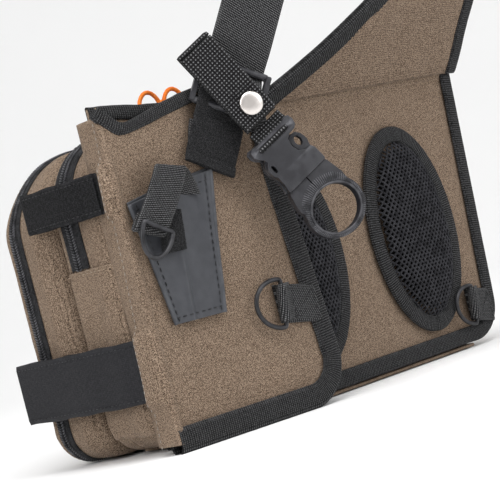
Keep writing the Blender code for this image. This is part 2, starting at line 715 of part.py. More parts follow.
main_compartment()
lumbar_pads()
zip_strip("main_zip_rear", depth(MAIN_ZIP - ZIP_TAPE), depth(MAIN_ZIP - GAP), False)
front_section()
front_door()
for slider_name, slider_x, slider_y in (
    ("main_left", -0.0760, depth(MAIN_ZIP)),
    ("main_right", -0.0540, depth(MAIN_ZIP)),
    ("front_left", -0.0110, depth(FRONT_ZIP)),
    ("front_right", 0.0110, depth(FRONT_ZIP)),
):
    slider(slider_name, slider_x, slider_y)
WING = frame_empty("wing_axis", (-HALF - 0.0020, depth(-0.0030), 0), (0, 0, -WING_TILT))
wing(WING)
holster(WING)
wing_tab(WING)
back_tab()
side_bands()
shoulder_yoke()
STRAP = frame_empty("strap_axis", STRAP_ORIGIN, (0, STRAP_ROLL, -STRAP_FACING))
shoulder_strap(STRAP)
ladder_lock(WING, STRAP)
HARDWARE = frame_empty("hardware_plane", STRAP_ORIGIN, (0, 0, -STRAP_FACING))
CLIP = frame_empty("clip_axis", CLIP_OFFSET, (0, CLIP_ROLL, 0), HARDWARE)
tool_strap(CLIP)
tool_clip(CLIP)
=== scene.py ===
# Landscape sling bag: the looks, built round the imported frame. Metres, +Z up, the back panel faces -Y.
import math

import bmesh
import bpy
from mathutils import Matrix, Vector, noise


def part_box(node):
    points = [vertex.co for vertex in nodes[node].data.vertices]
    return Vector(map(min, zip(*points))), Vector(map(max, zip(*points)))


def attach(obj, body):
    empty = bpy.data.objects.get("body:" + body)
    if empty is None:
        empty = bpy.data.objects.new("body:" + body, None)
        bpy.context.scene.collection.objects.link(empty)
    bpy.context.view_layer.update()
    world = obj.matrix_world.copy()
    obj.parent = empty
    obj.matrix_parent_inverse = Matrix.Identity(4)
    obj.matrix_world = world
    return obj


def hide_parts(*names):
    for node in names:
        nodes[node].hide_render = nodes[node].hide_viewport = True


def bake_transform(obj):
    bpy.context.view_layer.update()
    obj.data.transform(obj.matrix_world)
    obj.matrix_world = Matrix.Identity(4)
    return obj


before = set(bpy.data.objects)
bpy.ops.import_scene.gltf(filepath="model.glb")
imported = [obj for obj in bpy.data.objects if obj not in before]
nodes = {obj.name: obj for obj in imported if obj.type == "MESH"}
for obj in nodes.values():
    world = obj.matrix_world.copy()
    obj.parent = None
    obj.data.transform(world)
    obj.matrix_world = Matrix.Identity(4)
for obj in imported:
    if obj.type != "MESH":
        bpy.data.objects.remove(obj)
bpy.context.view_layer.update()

# where things are, shared by many pieces
bag = {
    "half": 0.165, "height": 0.196, "backY": -0.028,
    "mainZip": 0.038, "valley": 0.057, "frontZip": 0.094,
    "topRadius": 0.040, "baseRadius": 0.022,
    "mainFloor": 0.0028, "frontFloor": 0.0014,
}
wingPlace = Matrix.Translation((-0.167, -0.031, 0)) @ Matrix.Rotation(math.radians(-6.5), 4, "Z")
strapOrigin = Vector((-0.075, -0.062, 0.205))
hardwarePlace = Matrix.Translation(strapOrigin) @ Matrix.Rotation(math.radians(-30), 4, "Z")
strapPlace = hardwarePlace @ Matrix.Rotation(math.radians(30), 4, "Y")
clipPlace = hardwarePlace @ Matrix.Translation((0.0124, -0.0090, -0.0227)) @ Matrix.Rotation(math.radians(-30), 4, "Y")
wingFace = -0.0098
sideways, rearwards = Vector((1, 0, 0)), Vector((0, -1, 0))  # across the strap; out of the back panel
tailAcross = Vector((0.86, 0, -0.52))


def depth(forward):
    return bag["backY"] + forward


def smooth(x, low=0.0, high=1.0):
    x = max(0.0, min(1.0, (x - low) / (high - low)))
    return x * x * (3 - 2 * x)


def wobble(point, scale, seed=0.0):
    # soft value from -1 to 1 that changes over about one scale length
    return noise.noise(Vector(point) / scale + Vector((seed, seed * 1.7, seed * 0.3)))


def finishObject(name, mesh, finish):
    made = bpy.data.objects.new(name, mesh)
    bpy.context.scene.collection.objects.link(made)
    if finish:
        mesh.materials.clear()
        mesh.materials.append(finish)
    for face in mesh.polygons:
        face.use_smooth = True
    return made


def meshObject(name, points, faces, finish, uvs=None):
    mesh = bpy.data.meshes.new(name)
    mesh.from_pydata([tuple(p) for p in points], [], faces)
    if uvs:
        layer = mesh.uv_layers.new(name="flat")
        for loop in mesh.loops:
            layer.data[loop.index].uv = uvs[loop.vertex_index]
    mesh.update()
    return finishObject(name, mesh, finish)


def applied(made, keepName=None):
    # bakes the modifiers into a plain mesh
    bpy.context.view_layer.update()
    graph = bpy.context.evaluated_depsgraph_get()
    mesh = bpy.data.meshes.new_from_object(made.evaluated_get(graph), depsgraph=graph)
    mesh.name = keepName or made.name
    old = made.data
    made.modifiers.clear()
    made.data = mesh
    if isinstance(old, bpy.types.Mesh) and old.users == 0:
        bpy.data.meshes.remove(old)
    for face in mesh.polygons:
        face.use_smooth = True
    return made


def outwards(made, merge=0.0):
    work = bmesh.new()
    work.from_mesh(made.data)
    if merge:
        bmesh.ops.remove_doubles(work, verts=work.verts, dist=merge)
    bmesh.ops.recalc_face_normals(work, faces=work.faces)
    work.to_mesh(made.data)
    work.free()
    return made


def bevelled(made, width, segments=2, angle=35):
    step = made.modifiers.new("edge", "BEVEL")
    step.width = width
    step.segments = segments
    step.limit_method = "ANGLE"
    step.angle_limit = math.radians(angle)
    step.harden_normals = False
    return applied(made)


def subdivided(made, levels=1):
    step = made.modifiers.new("round", "SUBSURF")
    step.levels = step.render_levels = levels
    return applied(made)


def joined(name, parts):
    # several meshes of one body become one piece; materials are kept
    work = bmesh.new()
    slots = []
    for part in parts:
        offset = len(slots)
        slots += list(part.data.materials)
        copy = part.data.copy()
        for face in copy.polygons:
            face.material_index += offset
        copy.transform(part.matrix_world)
        work.from_mesh(copy)
        bpy.data.meshes.remove(copy)
    mesh = bpy.data.meshes.new(name)
    work.to_mesh(mesh)
    work.free()
    for part in parts:
        bpy.data.objects.remove(part)
    unique = []
    for material in slots:
        if material not in unique:
            unique.append(material)
        mesh.materials.append(material)
    order = [unique.index(material) for material in slots]
    indices = [order[face.material_index] for face in mesh.polygons]
    mesh.materials.clear()
    for material in unique:
        mesh.materials.append(material)
    for face, index in zip(mesh.polygons, indices):
        face.material_index = index
        face.use_smooth = True
    made = bpy.data.objects.new(name, mesh)
    bpy.context.scene.collection.objects.link(made)
    return made


def worn(piece, body, slot, *replaced):
    # the piece moves with its body and stands for the CAD nodes named
    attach(piece, body)
    if replaced:
        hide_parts(*replaced)
    return piece


# --- curves and grids ---


def resampled(points, count, closed=False):
    points = [Vector(p) for p in points]
    if closed:
        points.append(points[0].copy())
    lengths = [0.0]
    for a, b in zip(points, points[1:]):
        lengths.append(lengths[-1] + (b - a).length)
    total = lengths[-1]
    result, k = [], 0
    steps = count if closed else count - 1
    for i in range(count):
        target = total * i / steps
        while k < len(lengths) - 2 and lengths[k + 1] < target:
            k += 1
        span = lengths[k + 1] - lengths[k] or 1e-9
        result.append(points[k].lerp(points[k + 1], (target - lengths[k]) / span))
    return result


def curved(points, per=8, closed=False):
    # Catmull-Rom curve through the points
    points = [Vector(p) for p in points]
    count = len(points)
    result = []
    for i in range(count if closed else count - 1):
        if closed:
            a, b, c, d = (points[(i + k) % count] for k in (-1, 0, 1, 2))
        else:
            a, b = points[max(i - 1, 0)], points[i]
            c, d = points[i + 1], points[min(i + 2, count - 1)]
        for j in range(per):
            t = j / per
            result.append(0.5 * ((2 * b) + (c - a) * t + (2 * a - 5 * b + 4 * c - d) * t * t
                                 + (3 * b - a - 3 * c + d) * t ** 3))
    if not closed:
        result.append(points[-1].copy())
    return result


def lengthsAlong(points):
    lengths = [0.0]
    for a, b in zip(points, points[1:]):
        lengths.append(lengths[-1] + (Vector(b) - Vector(a)).length)
    return lengths


def gridFaces(rows, cols, closedAcross=False, closedAlong=False, first=0):
    faces = []
    for i in range(rows if closedAlong else rows - 1):
        for j in range(cols if closedAcross else cols - 1):
            a, b = i % rows, (i + 1) % rows
            c = (j + 1) % cols
            faces.append((first + a * cols + j, first + a * cols + c, first + b * cols + c, first + b * cols + j))
    return faces


def closedTube(count, ring):
    # faces of a tube made of rings, flat at both ends
    ends = [tuple(range(ring - 1, -1, -1)), tuple(range((count - 1) * ring, count * ring))]
    return gridFaces(count, ring, closedAcross=True) + ends


def twoSkins(grid, pair):
    # two grids from one: pair gives the front and the back point of each place
    both = [[pair(p, i, j) for j, p in enumerate(row)] for i, row in enumerate(grid)]
    return [[a for a, _ in row] for row in both], [[b for _, b in row] for row in both]


def sandwich(name, front, back, finish, uvs=None):
    # closed slab between two grids of points of the same size
    rows, cols = len(front), len(front[0])
    points = [p for row in front for p in row] + [p for row in back for p in row]
    size = rows * cols
    faces = gridFaces(rows, cols)
    faces += [tuple(reversed(face)) for face in gridFaces(rows, cols, first=size)]
    rim = [j for j in range(cols)] + [i * cols + cols - 1 for i in range(1, rows)]
    rim += [(rows - 1) * cols + j for j in range(cols - 2, -1, -1)] + [i * cols for i in range(rows - 2, 0, -1)]
    for a, b in zip(rim, rim[1:] + rim[:1]):
        faces.append((b, a, a + size, b + size))
    flat = [uv for row in uvs for uv in row] * 2 if uvs else None
    return outwards(meshObject(name, points, faces, finish, flat))


def coons(bottom, top, left, right, cols, rows):
    # fills four edges; bottom and top run left to right, left and right run upwards
    bottom, top = resampled(bottom, cols), resampled(top, cols)
    left, right = resampled(left, rows), resampled(right, rows)
    grid = []
    for i in range(rows):
        v = i / (rows - 1)
        row = []
        for j in range(cols):
            u = j / (cols - 1)
            ruled = bottom[j].lerp(top[j], v) + left[i].lerp(right[i], u)
            corners = (bottom[0] * (1 - u) + bottom[-1] * u) * (1 - v) + (top[0] * (1 - u) + top[-1] * u) * v
            row.append(ruled - corners)
        grid.append(row)
    return grid


def arcPoints(centre, radius, start, stop, steps=10):
    return [
        Vector((centre[0] + radius * math.cos(math.radians(start + (stop - start) * i / steps)),
                centre[1] + radius * math.sin(math.radians(start + (stop - start) * i / steps)), 0))
        for i in range(steps + 1)
    ]


def ribbon(name, path, across, width, thick, finish, place=None, edge=0.0, sag=0.0, cols=9, widths=None, skewed=False):
    # flat webbing with rounded selvedges; edge thickens the rim, sag cups it
    path = [Vector(p) for p in path]
    if isinstance(across, (Vector, tuple)):
        across = [Vector(across)] * len(path)
    lengths = lengthsAlong(path)
    points, uvs = [], []
    loop = []
    for j in range(cols):
        s = -1 + 2 * j / (cols - 1)
        loop.append((s, 1))
    loop += [(s, -1) for s, _ in reversed(loop)]
    ring = len(loop)
    for i, here in enumerate(path):
        ahead = (path[min(i + 1, len(path) - 1)] - path[max(i - 1, 0)]).normalized()
        side = (across[i] - ahead * across[i].dot(ahead)).normalized()
        up = side.cross(ahead).normalized()
        if skewed:
            side = across[i].normalized()
        wide = widths[i] if widths else width
        for s, face in loop:
            rim = smooth(abs(s), 0.80, 1.0)
            height = thick / 2 * (1 - 0.55 * smooth(abs(s), 0.93, 1.0)) + edge * rim * (1 - smooth(abs(s), 0.95, 1.0))
            offset = up * (face * height + sag * (1 - s * s))
            points.append(here + side * s * wide / 2 + offset)
            uvs.append((s * wide / 2, lengths[i]))
    faces = closedTube(len(path), ring)
    if place:
        points = [place @ p for p in points]
    return outwards(meshObject(name, points, faces, finish, uvs))


def tube(name, path, radius, finish, sides=12, closed=True, radii=None, flatten=1.0, place=None):
    # round wire or cord; a closed path joins up with itself
    path = [Vector(p) for p in path]
    count = len(path)
    lengths = lengthsAlong(path)
    ahead = []
    for i in range(count):
        if closed:
            ahead.append((path[(i + 1) % count] - path[i - 1]).normalized())
        else:
            ahead.append((path[min(i + 1, count - 1)] - path[max(i - 1, 0)]).normalized())
    normal = ahead[0].orthogonal().normalized()
    points, uvs, frames = [], [], []
    for i in range(count):
        normal = (normal - ahead[i] * normal.dot(ahead[i])).normalized()
        frames.append((normal.copy(), ahead[i].cross(normal).normalized()))
    twist = 0.0
    if closed:
        # spreads the leftover turn over the whole loop
        back = (frames[-1][0] - ahead[0] * frames[-1][0].dot(ahead[0])).normalized()
        twist = math.atan2(back.dot(frames[0][1]), back.dot(frames[0][0]))
    for i in range(count):
        turn = -twist * i / count
        for j in range(sides):
            angle = math.tau * j / sides + turn
            size = radii[i] if radii else radius
            points.append(path[i] + frames[i][0] * math.cos(angle) * size
                          + frames[i][1] * math.sin(angle) * size * flatten)
            uvs.append((j / sides, lengths[i]))
    faces = gridFaces(count, sides, closedAcross=True, closedAlong=True) if closed else closedTube(count, sides)
    if place:
        points = [place @ p for p in points]
    return outwards(meshObject(name, points, faces, finish, uvs))


def extruded(name, loops, yBack, yFront, finish, place=None):
    # flat moulded part between two Y values; later loops are holes
    curve = bpy.data.curves.new(name, "CURVE")
    curve.dimensions = "2D"
    curve.fill_mode = "BOTH"
    curve.extrude = abs(yFront - yBack) / 2
    for loop in loops:
        spline = curve.splines.new("POLY")
        spline.points.add(len(loop) - 1)
        spline.use_cyclic_u = True
        for point, where in zip(spline.points, loop):
            point.co = (where[0], where[1], 0, 1)
    shape = bpy.data.objects.new(name, curve)
    bpy.context.scene.collection.objects.link(shape)
    bpy.context.view_layer.update()
    mesh = bpy.data.meshes.new_from_object(shape.evaluated_get(bpy.context.evaluated_depsgraph_get()))
    bpy.data.objects.remove(shape)
    mesh.transform(Matrix.Translation((0, (yBack + yFront) / 2, 0)) @ Matrix.Rotation(math.pi / 2, 4, "X"))
    if place:
        mesh.transform(place)
    mesh.name = name
    made = finishObject(name, mesh, finish)
    return outwards(made, 0.00001)


# --- finishes ---


def put(tree, kind, inputs=None, **settings):
    node = tree.nodes.new(kind)
    for key, value in settings.items():
        setattr(node, key, value)
    for key, value in (inputs or {}).items():
        if isinstance(value, bpy.types.NodeSocket):
            tree.links.new(value, node.inputs[key])
        else:
            node.inputs[key].default_value = value
    return node


def calc(tree, operation, a, b=0.0, c=0.0):
    return put(tree, "ShaderNodeMath", {0: a, 1: b, 2: c}, operation=operation).outputs[0]


def blended(tree, fac, a, b, mode="MIX"):
    node = put(tree, "ShaderNodeMix", data_type="RGBA", blend_type=mode)
    for index, value in ((0, fac), (6, a), (7, b)):
        if isinstance(value, bpy.types.NodeSocket):
            tree.links.new(value, node.inputs[index])
        else:
            node.inputs[index].default_value = (*value, 1.0) if isinstance(value, tuple) and len(value) == 3 else value
    return node.outputs[2]


def ranged(tree, value, low, high, first=0.0, last=1.0):
    return put(tree, "ShaderNodeMapRange", {0: value, 1: low, 2: high, 3: first, 4: last},
        interpolation_type="SMOOTHSTEP").outputs[0]


def startGroup(name, inputs, outputs):
    tree = bpy.data.node_groups.new(name, "ShaderNodeTree")
    for label, kind, value in inputs:
        socket = tree.interface.new_socket(name=label, in_out="INPUT", socket_type=kind)
        if value is not None:
            socket.default_value = value
    for label, kind in outputs:
        tree.interface.new_socket(name=label, in_out="OUTPUT", socket_type=kind)
    return tree, tree.nodes.new("NodeGroupInput").outputs, tree.nodes.new("NodeGroupOutput").inputs


def placeGroup(tree, group, inputs):
    node = put(tree, "ShaderNodeGroup", node_tree=group)
    for key, value in inputs.items():
        if isinstance(value, bpy.types.NodeSocket):
            tree.links.new(value, node.inputs[key])
        else:
            node.inputs[key].default_value = value
    return node.outputs


def makeThreadGroup():
    # crossing threads: raised where one passes over the other; the second output marks the hollows between threads,
    # which the cloth finish fills with painted shade
    tree, given, out = startGroup(
        "threadWeave",
        [("Across", "NodeSocketFloat", 0.0), ("Along", "NodeSocketFloat", 0.0), ("Pitch", "NodeSocketFloat", 0.0008)],
        [("Height", "NodeSocketFloat"), ("GapShade", "NodeSocketFloat")],
    )
    angle = calc(tree, "DIVIDE", math.pi, given["Pitch"])
    warp = calc(tree, "SINE", calc(tree, "MULTIPLY", given["Across"], angle))
    weft = calc(tree, "SINE", calc(tree, "MULTIPLY", given["Along"], angle))
    raised = calc(tree, "ABSOLUTE", calc(tree, "MULTIPLY", warp, weft))
    tree.links.new(calc(tree, "POWER", raised, 0.6), out["Height"])
    tree.links.new(ranged(tree, raised, 0.0, 0.35, 1.0, 0.0), out["GapShade"])
    return tree


def makeRibGroup():
    # ribs across a tape, with a finer twill in each rib; the second output marks the rib tops, which the cloth finish
    # paints with a highlight
    tree, given, out = startGroup(
        "tapeRibs",
        [("Across", "NodeSocketFloat", 0.0), ("Along", "NodeSocketFloat", 0.0), ("Pitch", "NodeSocketFloat", 0.0012),
         ("Slant", "NodeSocketFloat", 0.0)],
        [("Height", "NodeSocketFloat"), ("CrestHighlight", "NodeSocketFloat")],
    )
    shifted = calc(tree, "MULTIPLY_ADD", given["Across"], given["Slant"], given["Along"])
    wave = calc(tree, "ABSOLUTE", calc(tree, "SINE",
        calc(tree, "MULTIPLY", shifted, calc(tree, "DIVIDE", math.pi, given["Pitch"]))))
    fine = calc(tree, "SINE", calc(tree, "MULTIPLY", given["Across"], math.tau / 0.0011))
    height = calc(tree, "MULTIPLY_ADD", fine, 0.12, calc(tree, "POWER", wave, 0.7))
    tree.links.new(height, out["Height"])
    tree.links.new(ranged(tree, height, 0.90, 1.10), out["CrestHighlight"])
    return tree


def makeFleckGroup():
    # flecked yarn: short light and dark runs along both thread directions
    tree, given, out = startGroup(
        "yarnFlecks",
        [("Across", "NodeSocketFloat", 0.0), ("Along", "NodeSocketFloat", 0.0), ("Depth", "NodeSocketFloat", 0.0),
         ("Size", "NodeSocketFloat", 0.0010), ("Stretch", "NodeSocketFloat", 3.0)],
        [("Light", "NodeSocketFloat"), ("Dark", "NodeSocketFloat"), ("Patch", "NodeSocketFloat")],
    )
    fine = calc(tree, "DIVIDE", 1.0, given["Size"])
    wide = calc(tree, "DIVIDE", fine, given["Stretch"])
    masks = []
    for acrossScale, alongScale, seed in ((wide, fine, 3.1), (fine, wide, 17.7)):
        vector = put(tree, "ShaderNodeCombineXYZ", {
            0: calc(tree, "MULTIPLY", given["Across"], acrossScale),
            1: calc(tree, "MULTIPLY", given["Along"], alongScale),
            2: calc(tree, "MULTIPLY_ADD", given["Depth"], wide, seed),
        }).outputs[0]
        masks.append(put(tree, "ShaderNodeTexNoise",
            {"Vector": vector, "Scale": 1.0, "Detail": 2.0, "Roughness": 0.6}).outputs[0])
    light = calc(tree, "MAXIMUM", ranged(tree, masks[0], 0.51, 0.64), ranged(tree, masks[1], 0.53, 0.66))
    dark = calc(tree, "MAXIMUM", ranged(tree, masks[0], 0.48, 0.35), ranged(tree, masks[1], 0.46, 0.34))
    vector = put(tree, "ShaderNodeCombineXYZ", {0: given["Across"], 1: given["Along"], 2: given["Depth"]}).outputs[0]
    patch = put(tree, "ShaderNodeTexNoise", {"Vector": vector, "Scale": 22.0, "Detail": 3.0}).outputs[0]
    tree.links.new(light, out["Light"])
    tree.links.new(dark, out["Dark"])
    tree.links.new(patch, out["Patch"])
    return tree


def makeWearGroup():
    # rubbed edges and settled dust
    tree, given, out = startGroup(
        "rubbedEdges",
        [("Vector", "NodeSocketVector", None), ("Amount", "NodeSocketFloat", 0.5), ("Dust", "NodeSocketFloat", 0.1)],
        [("Edge", "NodeSocketFloat"), ("Dust", "NodeSocketFloat")],
    )
    geometry = put(tree, "ShaderNodeNewGeometry")
    patch = put(tree, "ShaderNodeTexNoise", {"Vector": given["Vector"], "Scale": 160.0, "Detail": 4.0}).outputs[0]
    edge = ranged(tree, geometry.outputs["Pointiness"], 0.505, 0.58)
    tree.links.new(calc(tree, "MULTIPLY", calc(tree, "MULTIPLY", edge, ranged(tree, patch, 0.35, 0.6)),
        given["Amount"]), out["Edge"])
    upward = put(tree, "ShaderNodeSeparateXYZ", {0: geometry.outputs["Normal"]}).outputs[2]
    settled = calc(tree, "MULTIPLY", ranged(tree, upward, 0.1, 1.0), ranged(tree, patch, 0.45, 0.7))
    tree.links.new(calc(tree, "MULTIPLY", settled, given["Dust"]), out["Dust"])
    return tree


def makeGrainGroup():
    # pebbled grain of leather or moulded plastic
    tree, given, out = startGroup(
        "pebbleGrain",
        [("Vector", "NodeSocketVector", None), ("Size", "NodeSocketFloat", 0.0012)],
        [("Height", "NodeSocketFloat"), ("Tone", "NodeSocketFloat")],
    )
    scale = calc(tree, "DIVIDE", 1.0, given["Size"])
    cells = put(tree, "ShaderNodeTexVoronoi", {"Vector": given["Vector"], "Scale": scale},
        feature="SMOOTH_F1").outputs["Distance"]
    cloud = put(tree, "ShaderNodeTexNoise",
        {"Vector": given["Vector"], "Scale": calc(tree, "MULTIPLY", scale, 0.12), "Detail": 4.0}).outputs[0]
    tree.links.new(calc(tree, "SUBTRACT", calc(tree, "MULTIPLY", cloud, 0.5), cells), out["Height"])
    tree.links.new(cloud, out["Tone"])
    return tree


threadWeave, tapeRibs, yarnFlecks = makeThreadGroup(), makeRibGroup(), makeFleckGroup()
rubbedEdges, pebbleGrain = makeWearGroup(), makeGrainGroup()


def blankFinish(name, roughness=0.7, metallic=0.0, **fixed):
    finish = bpy.data.materials.new(name)
    finish.use_nodes = True
    tree = finish.node_tree
    shader = tree.nodes["Principled BSDF"]
    shader.inputs["Roughness"].default_value = roughness
    shader.inputs["Metallic"].default_value = metallic
    for key, value in fixed.items():
        shader.inputs[key].default_value = value
    return finish, tree, shader


def coordinates(tree, flat):
    # across, along and depth in metres, from the piece's own map or from its place
    if flat:
        found = put(tree, "ShaderNodeSeparateXYZ", {0: put(tree, "ShaderNodeUVMap", uv_map="flat").outputs[0]}).outputs
        return found[0], found[1], found[2]
    found = put(tree, "ShaderNodeSeparateXYZ", {0: put(tree, "ShaderNodeTexCoord").outputs["Object"]}).outputs
    across = calc(tree, "MULTIPLY_ADD", found[1], 0.8, found[0])
    along = calc(tree, "MULTIPLY_ADD", found[1], 0.5, found[2])
    return across, along, found[1]


def clothFinish(name, look):
    # one recipe for canvas, lining, webbing, binding and knit
    finish, tree, shader = blankFinish(name, look["roughness"])
    shader.inputs["Sheen Weight"].default_value = look.get("sheen", 0.04)
    shader.inputs["Sheen Roughness"].default_value = 0.45
    shader.inputs["Sheen Tint"].default_value = (*look.get("sheenTint", (1.0, 1.0, 1.0)), 1.0)
    shader.inputs["Specular IOR Level"].default_value = look.get("specular", 0.10)
    across, along, deep = coordinates(tree, look.get("flat", False))
    place = put(tree, "ShaderNodeTexCoord").outputs["Object"]
    flecks = placeGroup(tree, yarnFlecks, {
        "Across": across, "Along": along, "Depth": deep,
        "Size": look["fleckSize"], "Stretch": look.get("stretch", 3.0),
    })
    # crest and gap mark where a painted highlight goes on the raised threads and painted shade in the hollows between
    # them
    if "ribs" in look:
        relief = placeGroup(tree, tapeRibs,
            {"Across": across, "Along": along, "Pitch": look["ribs"], "Slant": look.get("slant", 0.0)})
        crestHighlight, gap = relief["CrestHighlight"], ranged(tree, relief["Height"], 0.45, 0.1)
    else:
        relief = placeGroup(tree, threadWeave, {"Across": across, "Along": along, "Pitch": look["pitch"]})
        crestHighlight, gap = ranged(tree, relief["Height"], 0.8, 1.0), relief["GapShade"]
    wear = placeGroup(tree, rubbedEdges, {"Vector": place, "Amount": look.get("wear", 0.3),
        "Dust": look.get("dust", 0.05)})
    colour = blended(tree, ranged(tree, flecks["Patch"], 0.3, 0.7), look["base"], look.get("second", look["base"]))
    colour = blended(tree, calc(tree, "MULTIPLY", flecks["Light"], look["lightAmount"]), colour, look["light"])
    colour = blended(tree, calc(tree, "MULTIPLY", flecks["Dark"], look["darkAmount"]), colour, look["dark"])
    # painted highlight on the crests in the light colour, then painted shade in the gaps in the dark colour
    colour = blended(tree, calc(tree, "MULTIPLY", crestHighlight, look.get("crestHighlightAmount", 0.15)), colour, look["light"])
    colour = blended(tree, calc(tree, "MULTIPLY", gap, look.get("gapShadeAmount", 0.35)), colour, look["dark"])
    colour = blended(tree, calc(tree, "ADD", wear["Edge"], wear["Dust"], 0.0), colour, look.get("worn", look["light"]))
    tree.links.new(colour, shader.inputs["Base Color"])
    rough = calc(tree, "MULTIPLY_ADD", flecks["Patch"], look.get("roughSpread", 0.1),
        look["roughness"] - look.get("roughSpread", 0.1) / 2)
    tree.links.new(rough, shader.inputs["Roughness"])
    height = calc(tree, "MULTIPLY_ADD", flecks["Light"], look.get("fleckHeight", 0.35), relief["Height"])
    bump = put(tree, "ShaderNodeBump", {"Strength": look.get("bump", 0.6), "Distance": look.get("relief", 0.0003),
        "Height": height})
    tree.links.new(bump.outputs[0], shader.inputs["Normal"])
    return finish


def hardFinish(name, look):
    # moulded plastic, coated wire, bright metal and leather
    finish, tree, shader = blankFinish(name, look["roughness"], look.get("metallic", 0.0))
    shader.inputs["Specular IOR Level"].default_value = look.get("specular", 0.5)
    place = put(tree, "ShaderNodeTexCoord").outputs["Object"]
    grain = placeGroup(tree, pebbleGrain, {"Vector": place, "Size": look["grain"]})
    wear = placeGroup(tree, rubbedEdges, {"Vector": place, "Amount": look.get("wear", 0.6),
        "Dust": look.get("dust", 0.05)})
    colour = blended(tree, ranged(tree, grain["Tone"], 0.3, 0.7), look["base"], look["second"])
    colour = blended(tree, wear["Edge"], colour, look["worn"])
    colour = blended(tree, wear["Dust"], colour, look.get("dustColour", (0.45, 0.42, 0.38)))
    tree.links.new(colour, shader.inputs["Base Color"])
    spread = look.get("roughSpread", 0.12)
    rough = calc(tree, "MULTIPLY_ADD", grain["Tone"], spread, look["roughness"] - spread / 2)
    tree.links.new(rough, shader.inputs["Roughness"])
    height = grain["Height"]
    if "brush" in look:
        stretched = put(tree, "ShaderNodeMapping", {"Vector": place, "Scale": look["brush"]}).outputs[0]
        streaks = put(tree, "ShaderNodeTexNoise", {"Vector": stretched, "Scale": 1.0, "Detail": 3.0}).outputs[0]
        height = calc(tree, "ADD", height, streaks)
    bump = put(tree, "ShaderNodeBump", {"Strength": look.get("bump", 0.25), "Distance": look.get("relief", 0.0002),
        "Height": height})
    tree.links.new(bump.outputs[0], shader.inputs["Normal"])
    return finish


# each look's light colour serves the yarn flecks and the painted crest highlight; its dark colour serves the dark
# flecks and the painted shade in the gaps
canvas = clothFinish("fleckedCanvas", {
    "base": (0.148, 0.099, 0.067), "second": (0.172, 0.118, 0.082), "light": (0.50, 0.39, 0.295), "dark": (0.012,
        0.007, 0.004),
    "roughness": 0.88, "fleckSize": 0.00029, "stretch": 2.3, "lightAmount": 0.62, "darkAmount": 1.0,
    "pitch": 0.00075, "bump": 0.5, "relief": 0.00014, "wear": 0.2, "dust": 0.05, "sheen": 0.06, "sheenTint": (1.0,
        0.9, 0.8),
})
lining = clothFinish("greyLining", {
    "base": (0.055, 0.056, 0.060), "second": (0.068, 0.069, 0.073), "light": (0.13, 0.13, 0.135), "dark": (0.02, 0.02,
        0.022),
    "roughness": 0.7, "fleckSize": 0.0006, "lightAmount": 0.3, "darkAmount": 0.4, "pitch": 0.0006, "bump": 0.4,
})
binding = clothFinish("ribbedBinding", {
    "base": (0.0035, 0.0035, 0.004), "second": (0.005, 0.005, 0.0055), "light": (0.15, 0.15, 0.155), "dark": (0.001,
        0.001, 0.001),
    "roughness": 0.7, "fleckSize": 0.0006, "lightAmount": 0.25, "darkAmount": 0.5, "ribs": 0.0016, "flat": True,
    "bump": 1.0, "relief": 0.0009, "crestHighlightAmount": 0.75, "gapShadeAmount": 0.9, "wear": 0.15,
})
webbing = clothFinish("blackWebbing", {
    "base": (0.006, 0.006, 0.007), "second": (0.009, 0.009, 0.010), "light": (0.24, 0.24, 0.245), "dark": (0.001,
        0.001, 0.001),
    "roughness": 0.6, "fleckSize": 0.0006, "lightAmount": 0.15, "darkAmount": 0.4, "ribs": 0.0014, "slant": 0.25,
    "flat": True,
    "bump": 1.0, "relief": 0.0005, "crestHighlightAmount": 0.75, "gapShadeAmount": 0.9, "wear": 0.1,
})
basketWebbing = clothFinish("basketWebbing", {
    "base": (0.008, 0.008, 0.009), "second": (0.011, 0.011, 0.012), "light": (0.20, 0.20, 0.205), "dark": (0.003,
        0.003, 0.003),
    "roughness": 0.7, "fleckSize": 0.0008, "lightAmount": 0.12, "darkAmount": 0.4, "pitch": 0.0021, "flat": True,
    "bump": 1.0, "relief": 0.0008, "crestHighlightAmount": 0.9, "gapShadeAmount": 1.0, "wear": 0.1,
})
satinBand = clothFinish("satinBand", {
    "base": (0.010, 0.010, 0.012), "second": (0.014, 0.014, 0.016), "light": (0.050, 0.050, 0.055), "dark": (0.008,
        0.008, 0.009),
    "roughness": 0.62, "fleckSize": 0.0007, "lightAmount": 0.25, "darkAmount": 0.3, "ribs": 0.0012, "flat": True,
    "bump": 0.5, "relief": 0.00025, "crestHighlightAmount": 0.25, "gapShadeAmount": 0.5, "wear": 0.1, "specular": 0.12,
})
knitBand = clothFinish("knitBand", {
    "base": (0.006, 0.006, 0.007), "second": (0.009, 0.009, 0.010), "light": (0.045, 0.045, 0.05), "dark": (0.002,
        0.002, 0.002),
    "roughness": 0.9, "fleckSize": 0.0007, "lightAmount": 0.4, "darkAmount": 0.5, "pitch": 0.0010, "flat": True,
    "bump": 1.0, "relief": 0.0005, "crestHighlightAmount": 0.3, "gapShadeAmount": 0.6, "fleckHeight": 0.9,
})
fuzzyTape = clothFinish("fuzzyTape", {
    "base": (0.009, 0.009, 0.010), "second": (0.015, 0.015, 0.016), "light": (0.085, 0.085, 0.09), "dark": (0.002,
        0.002, 0.002),
    "roughness": 0.95, "fleckSize": 0.00045, "stretch": 1.6, "lightAmount": 0.5, "darkAmount": 0.5, "pitch": 0.0008,
    "bump": 0.9, "relief": 0.0004, "fleckHeight": 1.2, "wear": 0.1,
})
